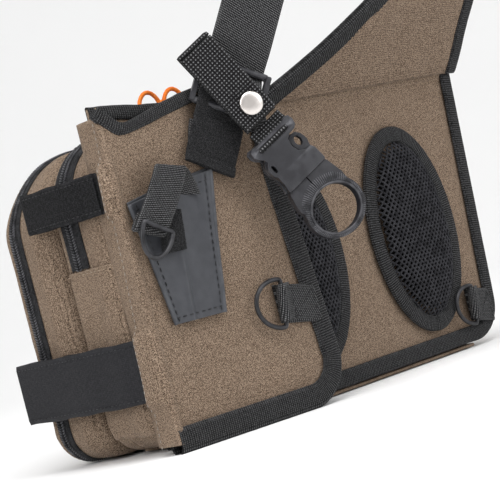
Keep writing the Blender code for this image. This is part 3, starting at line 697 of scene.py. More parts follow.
zipTape = clothFinish("zipTape", {
    "base": (0.007, 0.007, 0.008), "second": (0.010, 0.010, 0.011), "light": (0.07, 0.07, 0.075), "dark": (0.003,
        0.003, 0.003),
    "roughness": 0.75, "fleckSize": 0.0007, "lightAmount": 0.35, "darkAmount": 0.4, "ribs": 0.0010, "slant": 1.0,
    "flat": True,
    "bump": 0.8, "relief": 0.0003, "crestHighlightAmount": 0.3, "gapShadeAmount": 0.5,
})
airMesh = clothFinish("airMesh", {
    "base": (0.010, 0.010, 0.012), "second": (0.014, 0.014, 0.017), "light": (0.055, 0.055, 0.062), "dark": (0.002,
        0.002, 0.002),
    "roughness": 0.7, "fleckSize": 0.0005, "stretch": 2.0, "lightAmount": 0.5, "darkAmount": 0.3, "pitch": 0.0007,
    "bump": 0.8, "relief": 0.0003, "wear": 0.5,
})
# near-black: the cushion under the pad lattice, and also the painted shadow strip of the clip's slit
meshGroundAndSlitShade = clothFinish("meshGroundAndSlitShade", {
    "base": (0.002, 0.002, 0.002), "second": (0.003, 0.003, 0.003), "light": (0.010, 0.010, 0.011), "dark": (0.001,
        0.001, 0.001),
    "roughness": 0.95, "fleckSize": 0.0006, "lightAmount": 0.4, "darkAmount": 0.4, "pitch": 0.0008, "bump": 0.6,
})
paleThread = clothFinish("paleThread", {
    "base": (0.27, 0.24, 0.21), "second": (0.32, 0.29, 0.25), "light": (0.48, 0.44, 0.38), "dark": (0.12, 0.11, 0.11),
    "roughness": 0.6, "fleckSize": 0.0003, "lightAmount": 0.5, "darkAmount": 0.4, "pitch": 0.0003, "bump": 0.5,
    "relief": 0.0001,
})
darkThread = clothFinish("darkThread", {
    "base": (0.010, 0.010, 0.011), "second": (0.014, 0.014, 0.015), "light": (0.08, 0.08, 0.085), "dark": (0.002,
        0.002, 0.002),
    "roughness": 0.55, "fleckSize": 0.0003, "lightAmount": 0.5, "darkAmount": 0.4, "pitch": 0.0003, "bump": 0.5,
    "relief": 0.0001,
})
brownThread = clothFinish("brownThread", {
    "base": (0.20, 0.145, 0.10), "second": (0.26, 0.19, 0.135), "light": (0.5, 0.41, 0.31), "dark": (0.06, 0.04, 0.03),
    "roughness": 0.7, "fleckSize": 0.0003, "lightAmount": 0.5, "darkAmount": 0.4, "pitch": 0.0003, "bump": 0.5,
    "relief": 0.0001,
})
orangeCord = clothFinish("orangeCord", {
    "base": (1.0, 0.20, 0.015), "second": (1.0, 0.24, 0.02), "light": (1.0, 0.42, 0.12), "dark": (0.62, 0.08, 0.006),
    "roughness": 0.55, "fleckSize": 0.0005, "lightAmount": 0.4, "darkAmount": 0.3, "ribs": 0.0009, "slant": 1.0,
    "bump": 0.9, "relief": 0.0003,
})
foamFinish = clothFinish("closedFoam", {
    "base": (0.07, 0.07, 0.075), "second": (0.09, 0.09, 0.095), "light": (0.15, 0.15, 0.155), "dark": (0.03, 0.03,
        0.03),
    "roughness": 0.9, "fleckSize": 0.0009, "stretch": 1.0, "lightAmount": 0.4, "darkAmount": 0.5, "pitch": 0.0012,
    "bump": 0.5,
})
leather = hardFinish("slateLeather", {
    "base": (0.038, 0.040, 0.046), "second": (0.047, 0.049, 0.056), "worn": (0.12, 0.125, 0.135), "roughness": 0.5,
    "grain": 0.0007, "bump": 0.35, "relief": 0.00018, "wear": 0.35, "specular": 0.3, "dust": 0.02,
})
plastic = hardFinish("satinPlastic", {
    "base": (0.017, 0.017, 0.020), "second": (0.020, 0.020, 0.024), "worn": (0.10, 0.10, 0.11), "roughness": 0.42,
    "grain": 0.0004, "bump": 0.12, "relief": 0.00008, "wear": 0.7, "dust": 0.01, "roughSpread": 0.05, "specular": 0.35,
})
coatedWire = hardFinish("coatedWire", {
    "base": (0.008, 0.008, 0.010), "second": (0.011, 0.011, 0.013), "worn": (0.08, 0.08,
        0.09), "roughness": 0.36, "metallic": 0.2, "specular": 0.4,
    "grain": 0.0006, "bump": 0.12, "relief": 0.0001, "wear": 0.6, "dust": 0.02,
})
brushedNickel = hardFinish("brushedNickel", {
    "base": (0.62, 0.575, 0.545), "second": (0.70, 0.66, 0.63), "worn": (0.9, 0.87,
        0.85), "roughness": 0.30, "metallic": 1.0,
    "grain": 0.0007, "brush": (900.0, 900.0, 3500.0), "bump": 0.22, "relief": 0.00008, "wear": 0.4, "dust": 0.02,
})
boardFinish = hardFinish("fibreBoard", {
    "base": (0.030, 0.030, 0.031), "second": (0.042, 0.042, 0.043), "worn": (0.12, 0.12, 0.12), "roughness": 0.6,
    "grain": 0.0010, "bump": 0.4, "relief": 0.0002,
})
print("finishes ready")


# --- things that repeat along a line ---


def socketNamed(tree, label):
    return next(s.identifier for s in tree.interface.items_tree
                if s.item_type == "SOCKET" and s.name == label and s.in_out == "INPUT")


def stitch(spacing, long, wide, tall):
    return {"Spacing": spacing, "Long": long, "Wide": wide, "Tall": tall}


def makeRunTree():
    # one small piece at even steps along a line, its long side along the line and its back on the cloth
    tree = bpy.data.node_groups.new("runOfPieces", "GeometryNodeTree")
    face = tree.interface
    face.new_socket(name="Line", in_out="INPUT", socket_type="NodeSocketGeometry")
    for label, kind, value in (
        ("Spacing", "NodeSocketFloat", 0.004), ("Long", "NodeSocketFloat", 0.0026), ("Wide", "NodeSocketFloat", 0.0007),
        ("Tall", "NodeSocketFloat", 0.0005), ("Slant", "NodeSocketFloat", 0.0), ("Unevenness", "NodeSocketFloat", 0.04),
        ("Seed", "NodeSocketInt", 5), ("Finish", "NodeSocketMaterial", None),
    ):
        socket = face.new_socket(name=label, in_out="INPUT", socket_type=kind)
        if value is not None:
            socket.default_value = value
    face.new_socket(name="Pieces", in_out="OUTPUT", socket_type="NodeSocketGeometry")
    given = tree.nodes.new("NodeGroupInput").outputs
    line = put(tree, "GeometryNodeMeshToCurve", {"Mesh": given["Line"]}).outputs[0]
    points = put(tree, "GeometryNodeResampleCurve", {"Curve": line, "Length": given["Spacing"]}, mode="LENGTH")
    size = put(tree, "ShaderNodeCombineXYZ", {0: given["Long"], 1: given["Wide"], 2: given["Tall"]}).outputs[0]
    bead = put(tree, "GeometryNodeMeshUVSphere", {"Segments": 8, "Rings": 4, "Radius": 0.5}).outputs[0]
    piece = put(tree, "GeometryNodeTransform", {"Geometry": bead, "Scale": size}).outputs[0]
    tangent = put(tree, "GeometryNodeInputTangent").outputs[0]
    up = put(tree, "GeometryNodeInputNamedAttribute", {"Name": "up"}, data_type="FLOAT_VECTOR").outputs["Attribute"]
    turned = put(tree, "FunctionNodeAxesToRotation", {"Primary Axis": up, "Secondary Axis": tangent},
        primary_axis="Z", secondary_axis="X").outputs[0]
    low = calc(tree, "MULTIPLY", given["Unevenness"], -1.0)
    jitter = put(tree, "FunctionNodeRandomValue", data_type="FLOAT")
    tree.links.new(low, jitter.inputs[2])
    tree.links.new(given["Unevenness"], jitter.inputs[3])
    tree.links.new(given["Seed"], jitter.inputs["Seed"])
    angle = calc(tree, "ADD", given["Slant"], jitter.outputs[1])
    spin = put(tree, "FunctionNodeAxisAngleToRotation", {"Axis": (0.0, 0.0, 1.0), "Angle": angle}).outputs[0]
    turned = put(tree, "FunctionNodeRotateRotation", {"Rotation": turned, "Rotate By": spin},
        rotation_space="LOCAL").outputs[0]
    placed = put(tree, "GeometryNodeInstanceOnPoints",
        {"Points": points.outputs[0], "Instance": piece, "Rotation": turned}).outputs[0]
    real = put(tree, "GeometryNodeRealizeInstances", {"Geometry": placed}).outputs[0]
    done = put(tree, "GeometryNodeSetMaterial", {"Geometry": real, "Material": given["Finish"]}).outputs[0]
    out = tree.nodes.new("NodeGroupOutput")
    tree.links.new(done, out.inputs[0])
    return tree


runTree = makeRunTree()


def runAlong(name, path, ups, finish, closed=False, **sizes):
    # path and the cloth's outward direction at each point; sizes are the tree's own inputs
    path = [Vector(p) for p in path]
    if isinstance(ups, (Vector, tuple)):
        ups = [Vector(ups)] * len(path)
    edges = [(i, i + 1) for i in range(len(path) - 1)]
    if closed:
        edges.append((len(path) - 1, 0))
    mesh = bpy.data.meshes.new(name)
    mesh.from_pydata([tuple(p) for p in path], edges, [])
    store = mesh.attributes.new("up", "FLOAT_VECTOR", "POINT")
    for i, up in enumerate(ups):
        store.data[i].vector = up
    made = bpy.data.objects.new(name, mesh)
    bpy.context.scene.collection.objects.link(made)
    step = made.modifiers.new("run", "NODES")
    step.node_group = runTree
    values = dict(sizes)
    values["Finish"] = finish
    for label, value in values.items():
        step[socketNamed(runTree, label)] = value
    applied(made)
    if not made.data.materials:
        made.data.materials.append(finish)
    return made


# --- stuffed pieces ---


def inflated(made, voxel=0.005, pressure=4.0, frames=20, cap=0.006, finish=None, keepFlat=None):
    # cloth blown up a little by pressure, each point held within cap of where it started
    mesh = made.data.copy()
    work = bpy.data.objects.new(made.name + "_blown", mesh)
    bpy.context.scene.collection.objects.link(work)
    step = work.modifiers.new("voxels", "REMESH")
    step.mode = "VOXEL"
    step.voxel_size = voxel
    applied(work)
    start = [v.co.copy() for v in work.data.vertices]
    cloth = work.modifiers.new("cloth", "CLOTH")
    settings = cloth.settings
    settings.use_pressure = True
    settings.uniform_pressure_force = pressure
    settings.effector_weights.gravity = 0.0
    settings.quality = 4
    settings.tension_stiffness = settings.compression_stiffness = 15
    cloth.point_cache.frame_start, cloth.point_cache.frame_end = 1, frames
    for number in range(1, frames + 1):
        bpy.context.scene.frame_set(number)
    graph = bpy.context.evaluated_depsgraph_get()
    blown = bpy.data.meshes.new_from_object(work.evaluated_get(graph), depsgraph=graph)
    moved = [v.co.copy() for v in blown.vertices]
    work.modifiers.clear()
    bpy.data.meshes.remove(blown)
    bpy.context.scene.frame_set(1)
    for vertex, before, after in zip(work.data.vertices, start, moved):
        shift = after - before
        if shift.length > cap:
            shift *= cap / shift.length
        if keepFlat:
            shift = keepFlat(before, shift)
        vertex.co = before + shift
    subdivided(work, 1)
    work.data.materials.clear()
    work.data.materials.append(finish or made.data.materials[0])
    name = made.name
    bpy.data.objects.remove(made)
    work.name = work.data.name = name
    return work


# --- the two compartments ---

skin = {
    # depth from the back panel, and how far the cloth is drawn in there; below zero it swells
    "main": ((0.0015, 0.0080), (0.0050, 0.0040), (0.0090, 0.0008), (0.0150, -0.0012), (0.0210, -0.0019),
        (0.0270, -0.0008),
             (0.0300, 0.0), (0.0460, 0.0), (0.0495, 0.0004), (0.0525, 0.0024), (0.0550, 0.0066), (0.0566, 0.0098)),
    "front": ((0.0572, 0.0098), (0.0590, 0.0062), (0.0620, 0.0018), (0.0670, -0.0008), (0.0740, -0.0024),
        (0.0810, -0.0012),
              (0.0855, 0.0), (0.1015, 0.0), (0.1040, 0.0010), (0.1075, 0.0036), (0.1110, 0.0078), (0.1145, 0.0136),
              (0.1175, 0.0200), (0.1200, 0.0290)),
    "sagDrop": 0.0140, "sagFrom": 0.102, "sagTo": 0.166, "sagFront": 0.050, "sagFull": 0.100,  # the front corners slump
    "creaseSize": 0.034, "creaseHeight": 0.0011, "fineSize": 0.011, "fineHeight": 0.0005,
    "ring": {"base": 14, "baseCorner": 9, "side": 26, "topCorner": 13, "top": 22},
}


def drawnIn(t):
    table = skin["main"] if t < (bag["valley"] + 0.0002) else skin["front"]
    if t <= table[0][0]:
        return table[0][1]
    for (t0, a), (t1, b) in zip(table, table[1:]):
        if t <= t1:
            return a + (b - a) * smooth(t, t0, t1)
    return table[-1][1]


def ringAt(inset, floor):
    # outline seen along the depth, from the middle of the base round by the right side; (x, z, outward x, outward z)
    count = skin["ring"]
    drawn = max(inset, 0.0)
    x1, z0, z1 = bag["half"] - drawn, floor + drawn, bag["height"] - drawn
    low = bag["baseRadius"] - min(drawn, bag["baseRadius"] * 0.55)
    high = bag["topRadius"] - min(drawn, bag["topRadius"] * 0.55)
    points = [(x * (x1 - low), z0, 0, -1) for x in [i / count["base"] for i in range(count["base"])]]

    def corner(cx, cz, radius, start, steps):
        for i in range(steps):
            angle = math.radians(start + 90 * i / steps)
            points.append((cx + radius * math.cos(angle), cz + radius * math.sin(angle), math.cos(angle),
                math.sin(angle)))

    corner(x1 - low, z0 + low, low, -90, count["baseCorner"])
    for i in range(count["side"]):
        points.append((x1, z0 + low + (z1 - high - z0 - low) * i / count["side"], 1, 0))
    corner(x1 - high, z1 - high, high, 0, count["topCorner"])
    for i in range(count["top"] * 2):
        points.append((x1 - high - 2 * (x1 - high) * i / (count["top"] * 2), z1, 0, 1))
    corner(-x1 + high, z1 - high, high, 90, count["topCorner"])
    for i in range(count["side"]):
        points.append((-x1, z1 - high - (z1 - high - z0 - low) * i / count["side"], -1, 0))
    corner(-x1 + low, z0 + low, low, 180, count["baseCorner"])
    points += [((-x1 + low) * (1 - i / count["base"]), z0, 0, -1) for i in range(count["base"])]
    return points


def onSkin(entry, t, inset, lift=0.0):
    x, z, nx, nz = entry
    free = min(abs(t - bag["mainZip"]), abs(t - bag["frontZip"]))
    loose = smooth(free, 0.006, 0.014)
    swell = max(-inset, 0.0) * (abs(nx) + 0.35 * max(nz, 0))
    where = (x, t, z)
    crease = wobble(where, skin["creaseSize"], 3) * skin["creaseHeight"] + wobble(where, skin["fineSize"],
        8) * skin["fineHeight"]
    crease *= (0.25 + 0.75 * loose) * (0.12 if nz < -0.3 else 1.0)
    if nz > 0.6:
        crease = min(crease, 0.0) * 0.8 - 0.0004 * loose
    if nz < -0.3:
        lift *= 1 - 0.5 * smooth(-nz, 0.3, 1.0)
    out = swell + crease + lift
    sag = skin["sagDrop"] * smooth(abs(x), skin["sagFrom"], skin["sagTo"]) * smooth(t, skin["sagFront"],
        skin["sagFull"]) * smooth(z, 0.10, 0.19)
    return Vector((x + nx * out, depth(t), z + nz * out - sag))


def compartment(name, t0, t1, floor, wall, closedEnd, rowGap=0.0019):
    # open tray of cloth lined inside; closedEnd says which depth is closed
    steps = max(4, round((t1 - t0) / rowGap))
    levels = [t0 + (t1 - t0) * i / steps for i in range(steps + 1)]
    if closedEnd == "low":
        levels.reverse()
    rows = []
    for t in levels:
        inset = drawnIn(t)
        rows.append([onSkin(entry, t, inset) for entry in ringAt(inset, floor)])
    cols = len(rows[0])
    last, end = rows[-1], levels[-1]
    middle = Vector((0, depth(end), (floor + bag["height"]) / 2))
    for share in (0.82, 0.55, 0.25):
        rows.append([middle.lerp(p, share) + Vector((0, 0.0006 * wobble((p.x * share, end, p.z * share), 0.03, 2),
            0)) for p in last])
    points = [p for row in rows for p in row]
    faces = gridFaces(len(rows), cols, closedAcross=True)
    centre = len(points)
    points.append(middle)
    base = (len(rows) - 1) * cols
    faces += [(base + j, base + (j + 1) % cols, centre) for j in range(cols)]
    made = meshObject(name, points, faces, canvas)
    outwards(made)
    away = levels[-1] - levels[0]
    if made.data.polygons[-1].normal.y * away < 0:
        made.data.flip_normals()
    made.data.materials.append(lining)
    step = made.modifiers.new("wall", "SOLIDIFY")
    step.thickness = wall
    step.offset = -1
    step.material_offset = 1
    step.use_rim = True
    return applied(made)


mainRear = compartment("mainRearCloth", 0.0040, bag["mainZip"] - 0.0003, bag["mainFloor"], 0.0012, "low")
worn(mainRear, "bag", "canvas", "main_rear_shell")
mainFront = compartment("mainFrontCloth", bag["mainZip"] + 0.0003, 0.0564, bag["mainFloor"], 0.0012, "high")
worn(mainFront, "front_section", "canvas", "main_front_shell")
frontShell = compartment("frontPocketCloth", 0.0573, bag["frontZip"] - 0.0003, bag["frontFloor"], 0.0012, "low")
worn(frontShell, "front_section", "canvas", "front_pocket_shell")
frontDoor = compartment("frontDoorCloth", bag["frontZip"] + 0.0003, 0.1198, bag["frontFloor"], 0.0022, "high")
worn(frontDoor, "front_door", "canvas", "front_door")
print("compartments ready")

# --- zips ---

zips = {"tape": 0.0085, "thick": 0.0011, "endZ": 0.120, "pitch": 0.0017, "coilHalf": 0.0034}


def skinLine(t, floor, lift, endZ=None):
    # a line round the skin at one depth; with endZ it stops there on both sides
    ring = ringAt(max(drawnIn(t), 0.0), floor)
    if endZ is None:
        chosen = ring
    else:
        chosen = [e for e in ring if e[1] >= endZ]
        x = bag["half"]
        chosen = [(x, endZ, 1, 0)] + chosen + [(-x, endZ, -1, 0)]
    inset = drawnIn(t)
    return [onSkin(e, t, inset, lift) for e in chosen], [Vector((e[2], 0, e[3])) for e in chosen]


def skinStrip(name, section, floor, finish, endZ=None):
    # a strip whose cross-section is a loop of (depth, lift) points, laid round the skin
    lines = [skinLine(t, floor, lift, endZ)[0] for t, lift in section]
    count = len(lines[0])
    lengths = lengthsAlong(lines[0])
    points = [lines[k][i] for i in range(count) for k in range(len(section))]
    uvs = [(section[k][0], lengths[i]) for i in range(count) for k in range(len(section))]
    ring = len(section)
    faces = closedTube(count, ring) if endZ else gridFaces(count, ring, closedAcross=True, closedAlong=True)
    return outwards(meshObject(name, points, faces, finish, uvs))


def zipHalf(name, node, body, t, side, floor, endZ, wide=zips["tape"]):
    # one tape with its coil and two rows of sewing; side is -1 towards the back, 1 towards the front
    inner, outer = t + side * 0.0003, t + side * wide
    section = []
    for share, lift in ((0, 0.0013), (0.35, 0.0013), (0.72, 0.0012), (0.96, 0.0010), (1, 0.0004), (0.5, 0.0002),
        (0, 0.0003)):
        section.append((inner + (outer - inner) * share, lift))
    tape = skinStrip(name + "_tape", section, floor, zipTape, endZ)
    whole = endZ is None
    line, ups = skinLine(t + side * 0.0019, floor, 0.0019, endZ)
    coil = runAlong(name + "_coil", line, ups, plastic, whole, Spacing=zips["pitch"], Long=zips["coilHalf"],
                    Wide=0.00105, Tall=0.0011, Slant=math.pi / 2 - side * 0.42, Unevenness=0.02)
    parts = [tape, coil]
    line, ups = skinLine(t + side * wide * 0.82, floor, 0.0013, endZ)
    parts.append(runAlong(name + "_sewing", line, ups, darkThread, whole, **stitch(0.0034, 0.0026, 0.0006, 0.0004)))
    line, ups = skinLine(t + side * (wide + 0.0022), floor, 0.0002, endZ)
    parts.append(runAlong(name + "_topSewing", line, ups, brownThread, whole, **stitch(0.0036, 0.0027, 0.0006, 0.0005)))
    return worn(joined(name, parts), body, "webbing", node)


zipHalf("mainZipRear", "main_zip_rear", "bag", bag["mainZip"], -1, bag["mainFloor"], zips["endZ"])
zipHalf("mainZipFront", "main_zip_front", "front_section", bag["mainZip"], 1, bag["mainFloor"], zips["endZ"])
zipHalf("frontZipRear", "front_zip_rear", "front_section", bag["frontZip"], -1, bag["frontFloor"], None, 0.0068)
zipHalf("frontZipDoor", "front_zip_door", "front_door", bag["frontZip"], 1, bag["frontFloor"], None, 0.0048)


def sliderPiece(name, x, t, body):
    # wedge body with a post and the bridge over it; the cord loop through the bridge is made by pullerPiece
    y, z = depth(t), bag["height"] + 0.0017
    outline = [(-0.0045, -0.0024), (-0.0045, 0.0024), (-0.0020, 0.0037), (0.0045, 0.0030), (0.0045, -0.0030),
        (-0.0020, -0.0037)]
    parts = []
    for low, high, size in ((0.0, 0.0009, 1.0), (0.0017, 0.0027, 0.94)):
        points = [(x + a * size, y + b * size, z + h) for h in (low, high) for a, b in outline]
        faces = [tuple(range(5, -1, -1)), tuple(range(6, 12))] + [(i, (i + 1) % 6, 6 + (i + 1) % 6,
            6 + i) for i in range(6)]
        parts.append(bevelled(outwards(meshObject(name + "Plate", points, faces, coatedWire)), 0.0004))
    arch = [(x - 0.0030, y, z + 0.0026), (x - 0.0026, y, z + 0.0042), (x, y, z + 0.0046), (x + 0.0026, y, z + 0.0042),
        (x + 0.0030, y, z + 0.0026)]
    parts.append(tube(name + "Bridge", curved(arch, 5), 0.0007, coatedWire, 10, closed=False))
    parts.append(tube(name + "Post", [(x, y, z + 0.0004), (x, y, z + 0.0022)], 0.0012, coatedWire, 12, closed=False))
    worn(joined(name, parts), body + "_slider", "wire", body + "_slider")


def pullerPiece(name, body):
    low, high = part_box(body + "_puller")
    centre = (low + high) / 2
    radius = (high.z - low.z) / 2 - 0.0014
    path, radii = [], []
    for i in range(56):
        angle = math.tau * i / 56
        pinch = 1 - 0.10 * smooth(-math.cos(angle), 0.2, 1.0)
        path.append(centre + Vector((radius * math.sin(angle) * pinch, 0, -radius * math.cos(angle))))
        radii.append(0.0014 * (1 + 0.05 * math.sin(i * 4.2)))
    worn(tube(name, path, 0.0014, orangeCord, 12, radii=radii), body + "_puller", "cord", body + "_puller")


for label, x, t in (("main_left", -0.076, bag["mainZip"]), ("main_right", -0.054, bag["mainZip"]),
                    ("front_left", -0.011, bag["frontZip"]), ("front_right", 0.011, bag["frontZip"])):
    sliderPiece(label + "SliderBody", x, t, label)
    pullerPiece(label + "PullLoop", label)
print("zips ready")

# --- inside and underneath ---


def sheetPanel(name, node, body, finish, low, high, y, thick, hem=0.0035, puff=0.0):
    # flat pocket cloth with rounded corners and a folded hem along its top
    x0, z0, x1, z1 = low[0], low[1], high[0], high[1]
    radius = 0.008
    side = [Vector((x0, 0, z0 + radius)), Vector((x0, 0, z1))]
    corner = [Vector((p.x, 0, p.y)) for p in arcPoints((x0 + radius, z0 + radius), radius, 225, 180, 5)]
    left = corner + side[1:]
    right = [Vector((x0 + x1 - p.x, 0, p.z)) for p in left]
    bottom = [Vector((p.x, 0, p.y)) for p in arcPoints((x0 + radius, z0 + radius), radius, 225, 270, 5)]
    bottom += [Vector((x0 + x1 - p.x, 0, p.z)) for p in reversed(bottom)]
    top = [left[-1], right[-1]]

    def pair(p, i, j):
        edge = min(p.x - x0, x1 - p.x, p.z - z0)
        full = puff * smooth(edge, 0.0, 0.03)
        ripple = 0.0005 * wobble((p.x, 0, p.z), 0.028, 5) * smooth(edge, 0, 0.01)
        fold = 0.0004 * smooth(z1 - p.z, hem, hem * 0.8)
        return Vector((p.x, y - full + ripple - fold, p.z)), Vector((p.x, y + thick - full + ripple, p.z))

    skins = twoSkins(coons(bottom, top, left, right, 56, 34), pair)
    return worn(sandwich(name, *skins, finish), body, "lining" if finish is lining else "canvas", node)


slipPocket = sheetPanel("slipPocketCloth", "slip_pocket", "bag", lining, (-0.120, 0.020), (0.120, 0.135),
    depth(0.0139), 0.0010)
organizer = sheetPanel("organizerCloth", "front_organizer", "front_section", lining, (-0.130, 0.014), (0.130, 0.110),
    depth(0.0649), 0.0010)
sheetPanel("doorPocketCloth", "door_pocket", "front_door", canvas, (-0.105, 0.034), (0.105, 0.122), depth(0.1204),
    0.0030, puff=-0.0014)

basePoints, baseLow = [], []
for i in range(9):
    z = 0.0002
    y = depth(0.0012) + (depth(0.0548) - depth(0.0012)) * i / 8
    basePoints.append([Vector((-0.138 + 0.276 * j / 40, y,
        0.0023 + 0.0002 * wobble((j / 9, i / 5, 0), 0.3, 4))) for j in range(41)])
    baseLow.append([Vector((-0.138 + 0.276 * j / 40, y, z)) for j in range(41)])
worn(bevelled(sandwich("basePanelCloth", basePoints, baseLow, canvas), 0.0006), "bag", "canvas", "base_panel")
nodes["base_board"].data.materials.clear()
nodes["base_board"].data.materials.append(boardFinish)

# --- back panel ---

pads = {
    "halfX": 0.0345, "halfZ": 0.0625, "z": 0.092, "rightX": 0.1000, "leftX": -0.0220, "rise": 0.0078,
    "holeX": 0.0040, "holeZ": 0.0050, "yarn": 0.00092,
}
back = {"left": -0.166, "low": 0.004, "foot": 0.170, "top": 0.184, "corner": 0.028, "crease": 0.196, "foam": 0.0050,
    "tape": 0.0100}


def backEdge(grow=0.0, steps=14):
    # left, bottom, right and top edges of the back panel, drawn in by -grow
    left = back["left"] - grow
    low = back["low"] - grow
    foot, top, corner = back["foot"] + grow, back["top"] + grow, back["corner"] + grow
    bend = [Vector((p.x, 0, p.y)) for p in arcPoints((foot - corner, low + corner), corner, -90, 0, steps)]
    half = steps // 2
    bottom = [Vector((left, 0, low))] + bend[:half + 1]
    right = bend[half:] + [Vector((top, 0, back["crease"]))]
    leftSide = [Vector((left, 0, low)), Vector((left, 0, back["crease"]))]
    crown = [Vector((left, 0, back["crease"])), Vector((top, 0, back["crease"]))]
    return bottom, crown, leftSide, right, bend


bottom, crown, leftSide, right, bend = backEdge(-0.0006)
grid = coons(bottom, crown, leftSide, right, 120, 72)


def backPair(p, i, j):
    # the cloth lies flat where a pad covers it and is drawn in between the pads and the edge
    rows, cols = len(grid), len(grid[0])
    edge = min(i, rows - 1 - i) / rows * 0.19
    edge = min(edge, j / cols * 0.34, (cols - 1 - j) / cols * 0.34)
    inside = smooth(edge, 0.004, 0.020)
    hollow = 0.0
    for middle in (pads["rightX"], pads["leftX"]):
        away = math.hypot((p.x - middle) / 0.0445, (p.z - pads["z"]) / 0.0725)
        hollow = max(hollow, smooth(away, 1.30, 1.0))
    crease = 0.0011 * wobble((p.x, 0, p.z), 0.040, 6) + 0.0005 * wobble((p.x, 0, p.z), 0.014, 9)
    pull = 0.0009 * inside * (1 - hollow)
    y = depth(0.0002) + 0.0007 - pull * 0.8 + abs(crease) * 0.6 * inside * (1 - 0.7 * hollow)
    foam = back["foam"] * 0.86 * smooth(edge, 0.0, 0.010)
    return Vector((p.x, y, p.z)), Vector((p.x, depth(0.0016) + foam, p.z))


backPanel = sandwich("backPanelCloth", *twoSkins(grid, backPair), canvas)
worn(backPanel, "bag", "canvas", "back_panel", "back_foam")


def foldedTape(name, line, inward, out, width, lift, thick, finish, backWidth=None, depthBack=0.0024, wave=0.0003,
    pitch=0.0125):
    # tape folded over an edge: a flange on the face, a round fold outside it and a flange behind
    backWidth = backWidth or width
    section = [("front", width * (1 - k / 5)) for k in range(6)]
    section += [("round", math.pi * k / 6) for k in range(1, 6)]
    section += [("back", backWidth * k / 5) for k in range(6)]
    half = (lift + depthBack) / 2
    lengths = lengthsAlong(line)
    points, uvs = [], []
    for i, here in enumerate(line):
        ring, us = [], []
        puff = wave * wobble((lengths[i], 0, 0), pitch, 7)
        centre = here + out * (lift - half)
        for kind, a in section:
            if kind == "front":
                share = a / width
                crownUp = 0.0005 * math.sin(math.pi * share)
                ring.append(here + inward[i] * a + out * (lift + crownUp + puff - (0.0006 if share > 0.97 else 0)))
                us.append(a)
            elif kind == "round":
                ring.append(centre + out * half * math.cos(a) - inward[i] * math.sin(a) * (half * 0.7 + puff))
                us.append(-math.sin(a) * 0.002)
            else:
                ring.append(here + inward[i] * a - out * depthBack)
                us.append(-a)
        innerRing = []
        for q, (kind, _) in zip(ring, section):
            if kind == "front":
                innerRing.append(q - out * thick)
            elif kind == "round":
                innerRing.append(centre + (q - centre) * max(0.2, 1 - thick / half))
            else:
                innerRing.append(q + out * thick)
        points += ring + innerRing[::-1]
        uvs += [(u, lengths[i]) for u in us + us[::-1]]
    return outwards(meshObject(name, points, closedTube(len(line), 2 * len(section)), finish, uvs))


def inwardNormals(line, out, flip=1):
    result = []
    for i in range(len(line)):
        ahead = (line[min(i + 1, len(line) - 1)] - line[max(i - 1, 0)]).normalized()
        result.append(out.cross(ahead).normalized() * flip)
    return result


edgeLine = [Vector((back["left"], 0, back["low"]))] + bend + [Vector((back["top"], 0, back["crease"] - 0.0004))]
edgeLine = [Vector((p.x, depth(0), p.z)) for p in resampled(edgeLine, 190)]
normals = inwardNormals(edgeLine, rearwards, -1)
if normals[0].z < 0:
    normals = [-n for n in normals]
backEdging = foldedTape("backEdging", edgeLine, normals, rearwards, back["tape"], 0.0018, 0.0008, binding,
    depthBack=0.0018)
inner = [p + n * (back["tape"] - 0.0016) - Vector((0, 0.0026, 0)) for p, n in zip(edgeLine, normals)]
sewing = runAlong("backEdgingSewing", inner, (0, -1, 0), darkThread, **stitch(0.0034, 0.0025, 0.0006, 0.0005))
worn(joined("backEdging", [backEdging, sewing]), "bag", "webbing", "back_binding")
print("back panel ready")

# --- lumbar pads ---


def padRise(dx, dz):
    away = math.hypot(dx / pads["halfX"], dz / pads["halfZ"])
    return pads["rise"] * math.sqrt(max(0.0, 1 - min(1.0, away) ** 2.6))


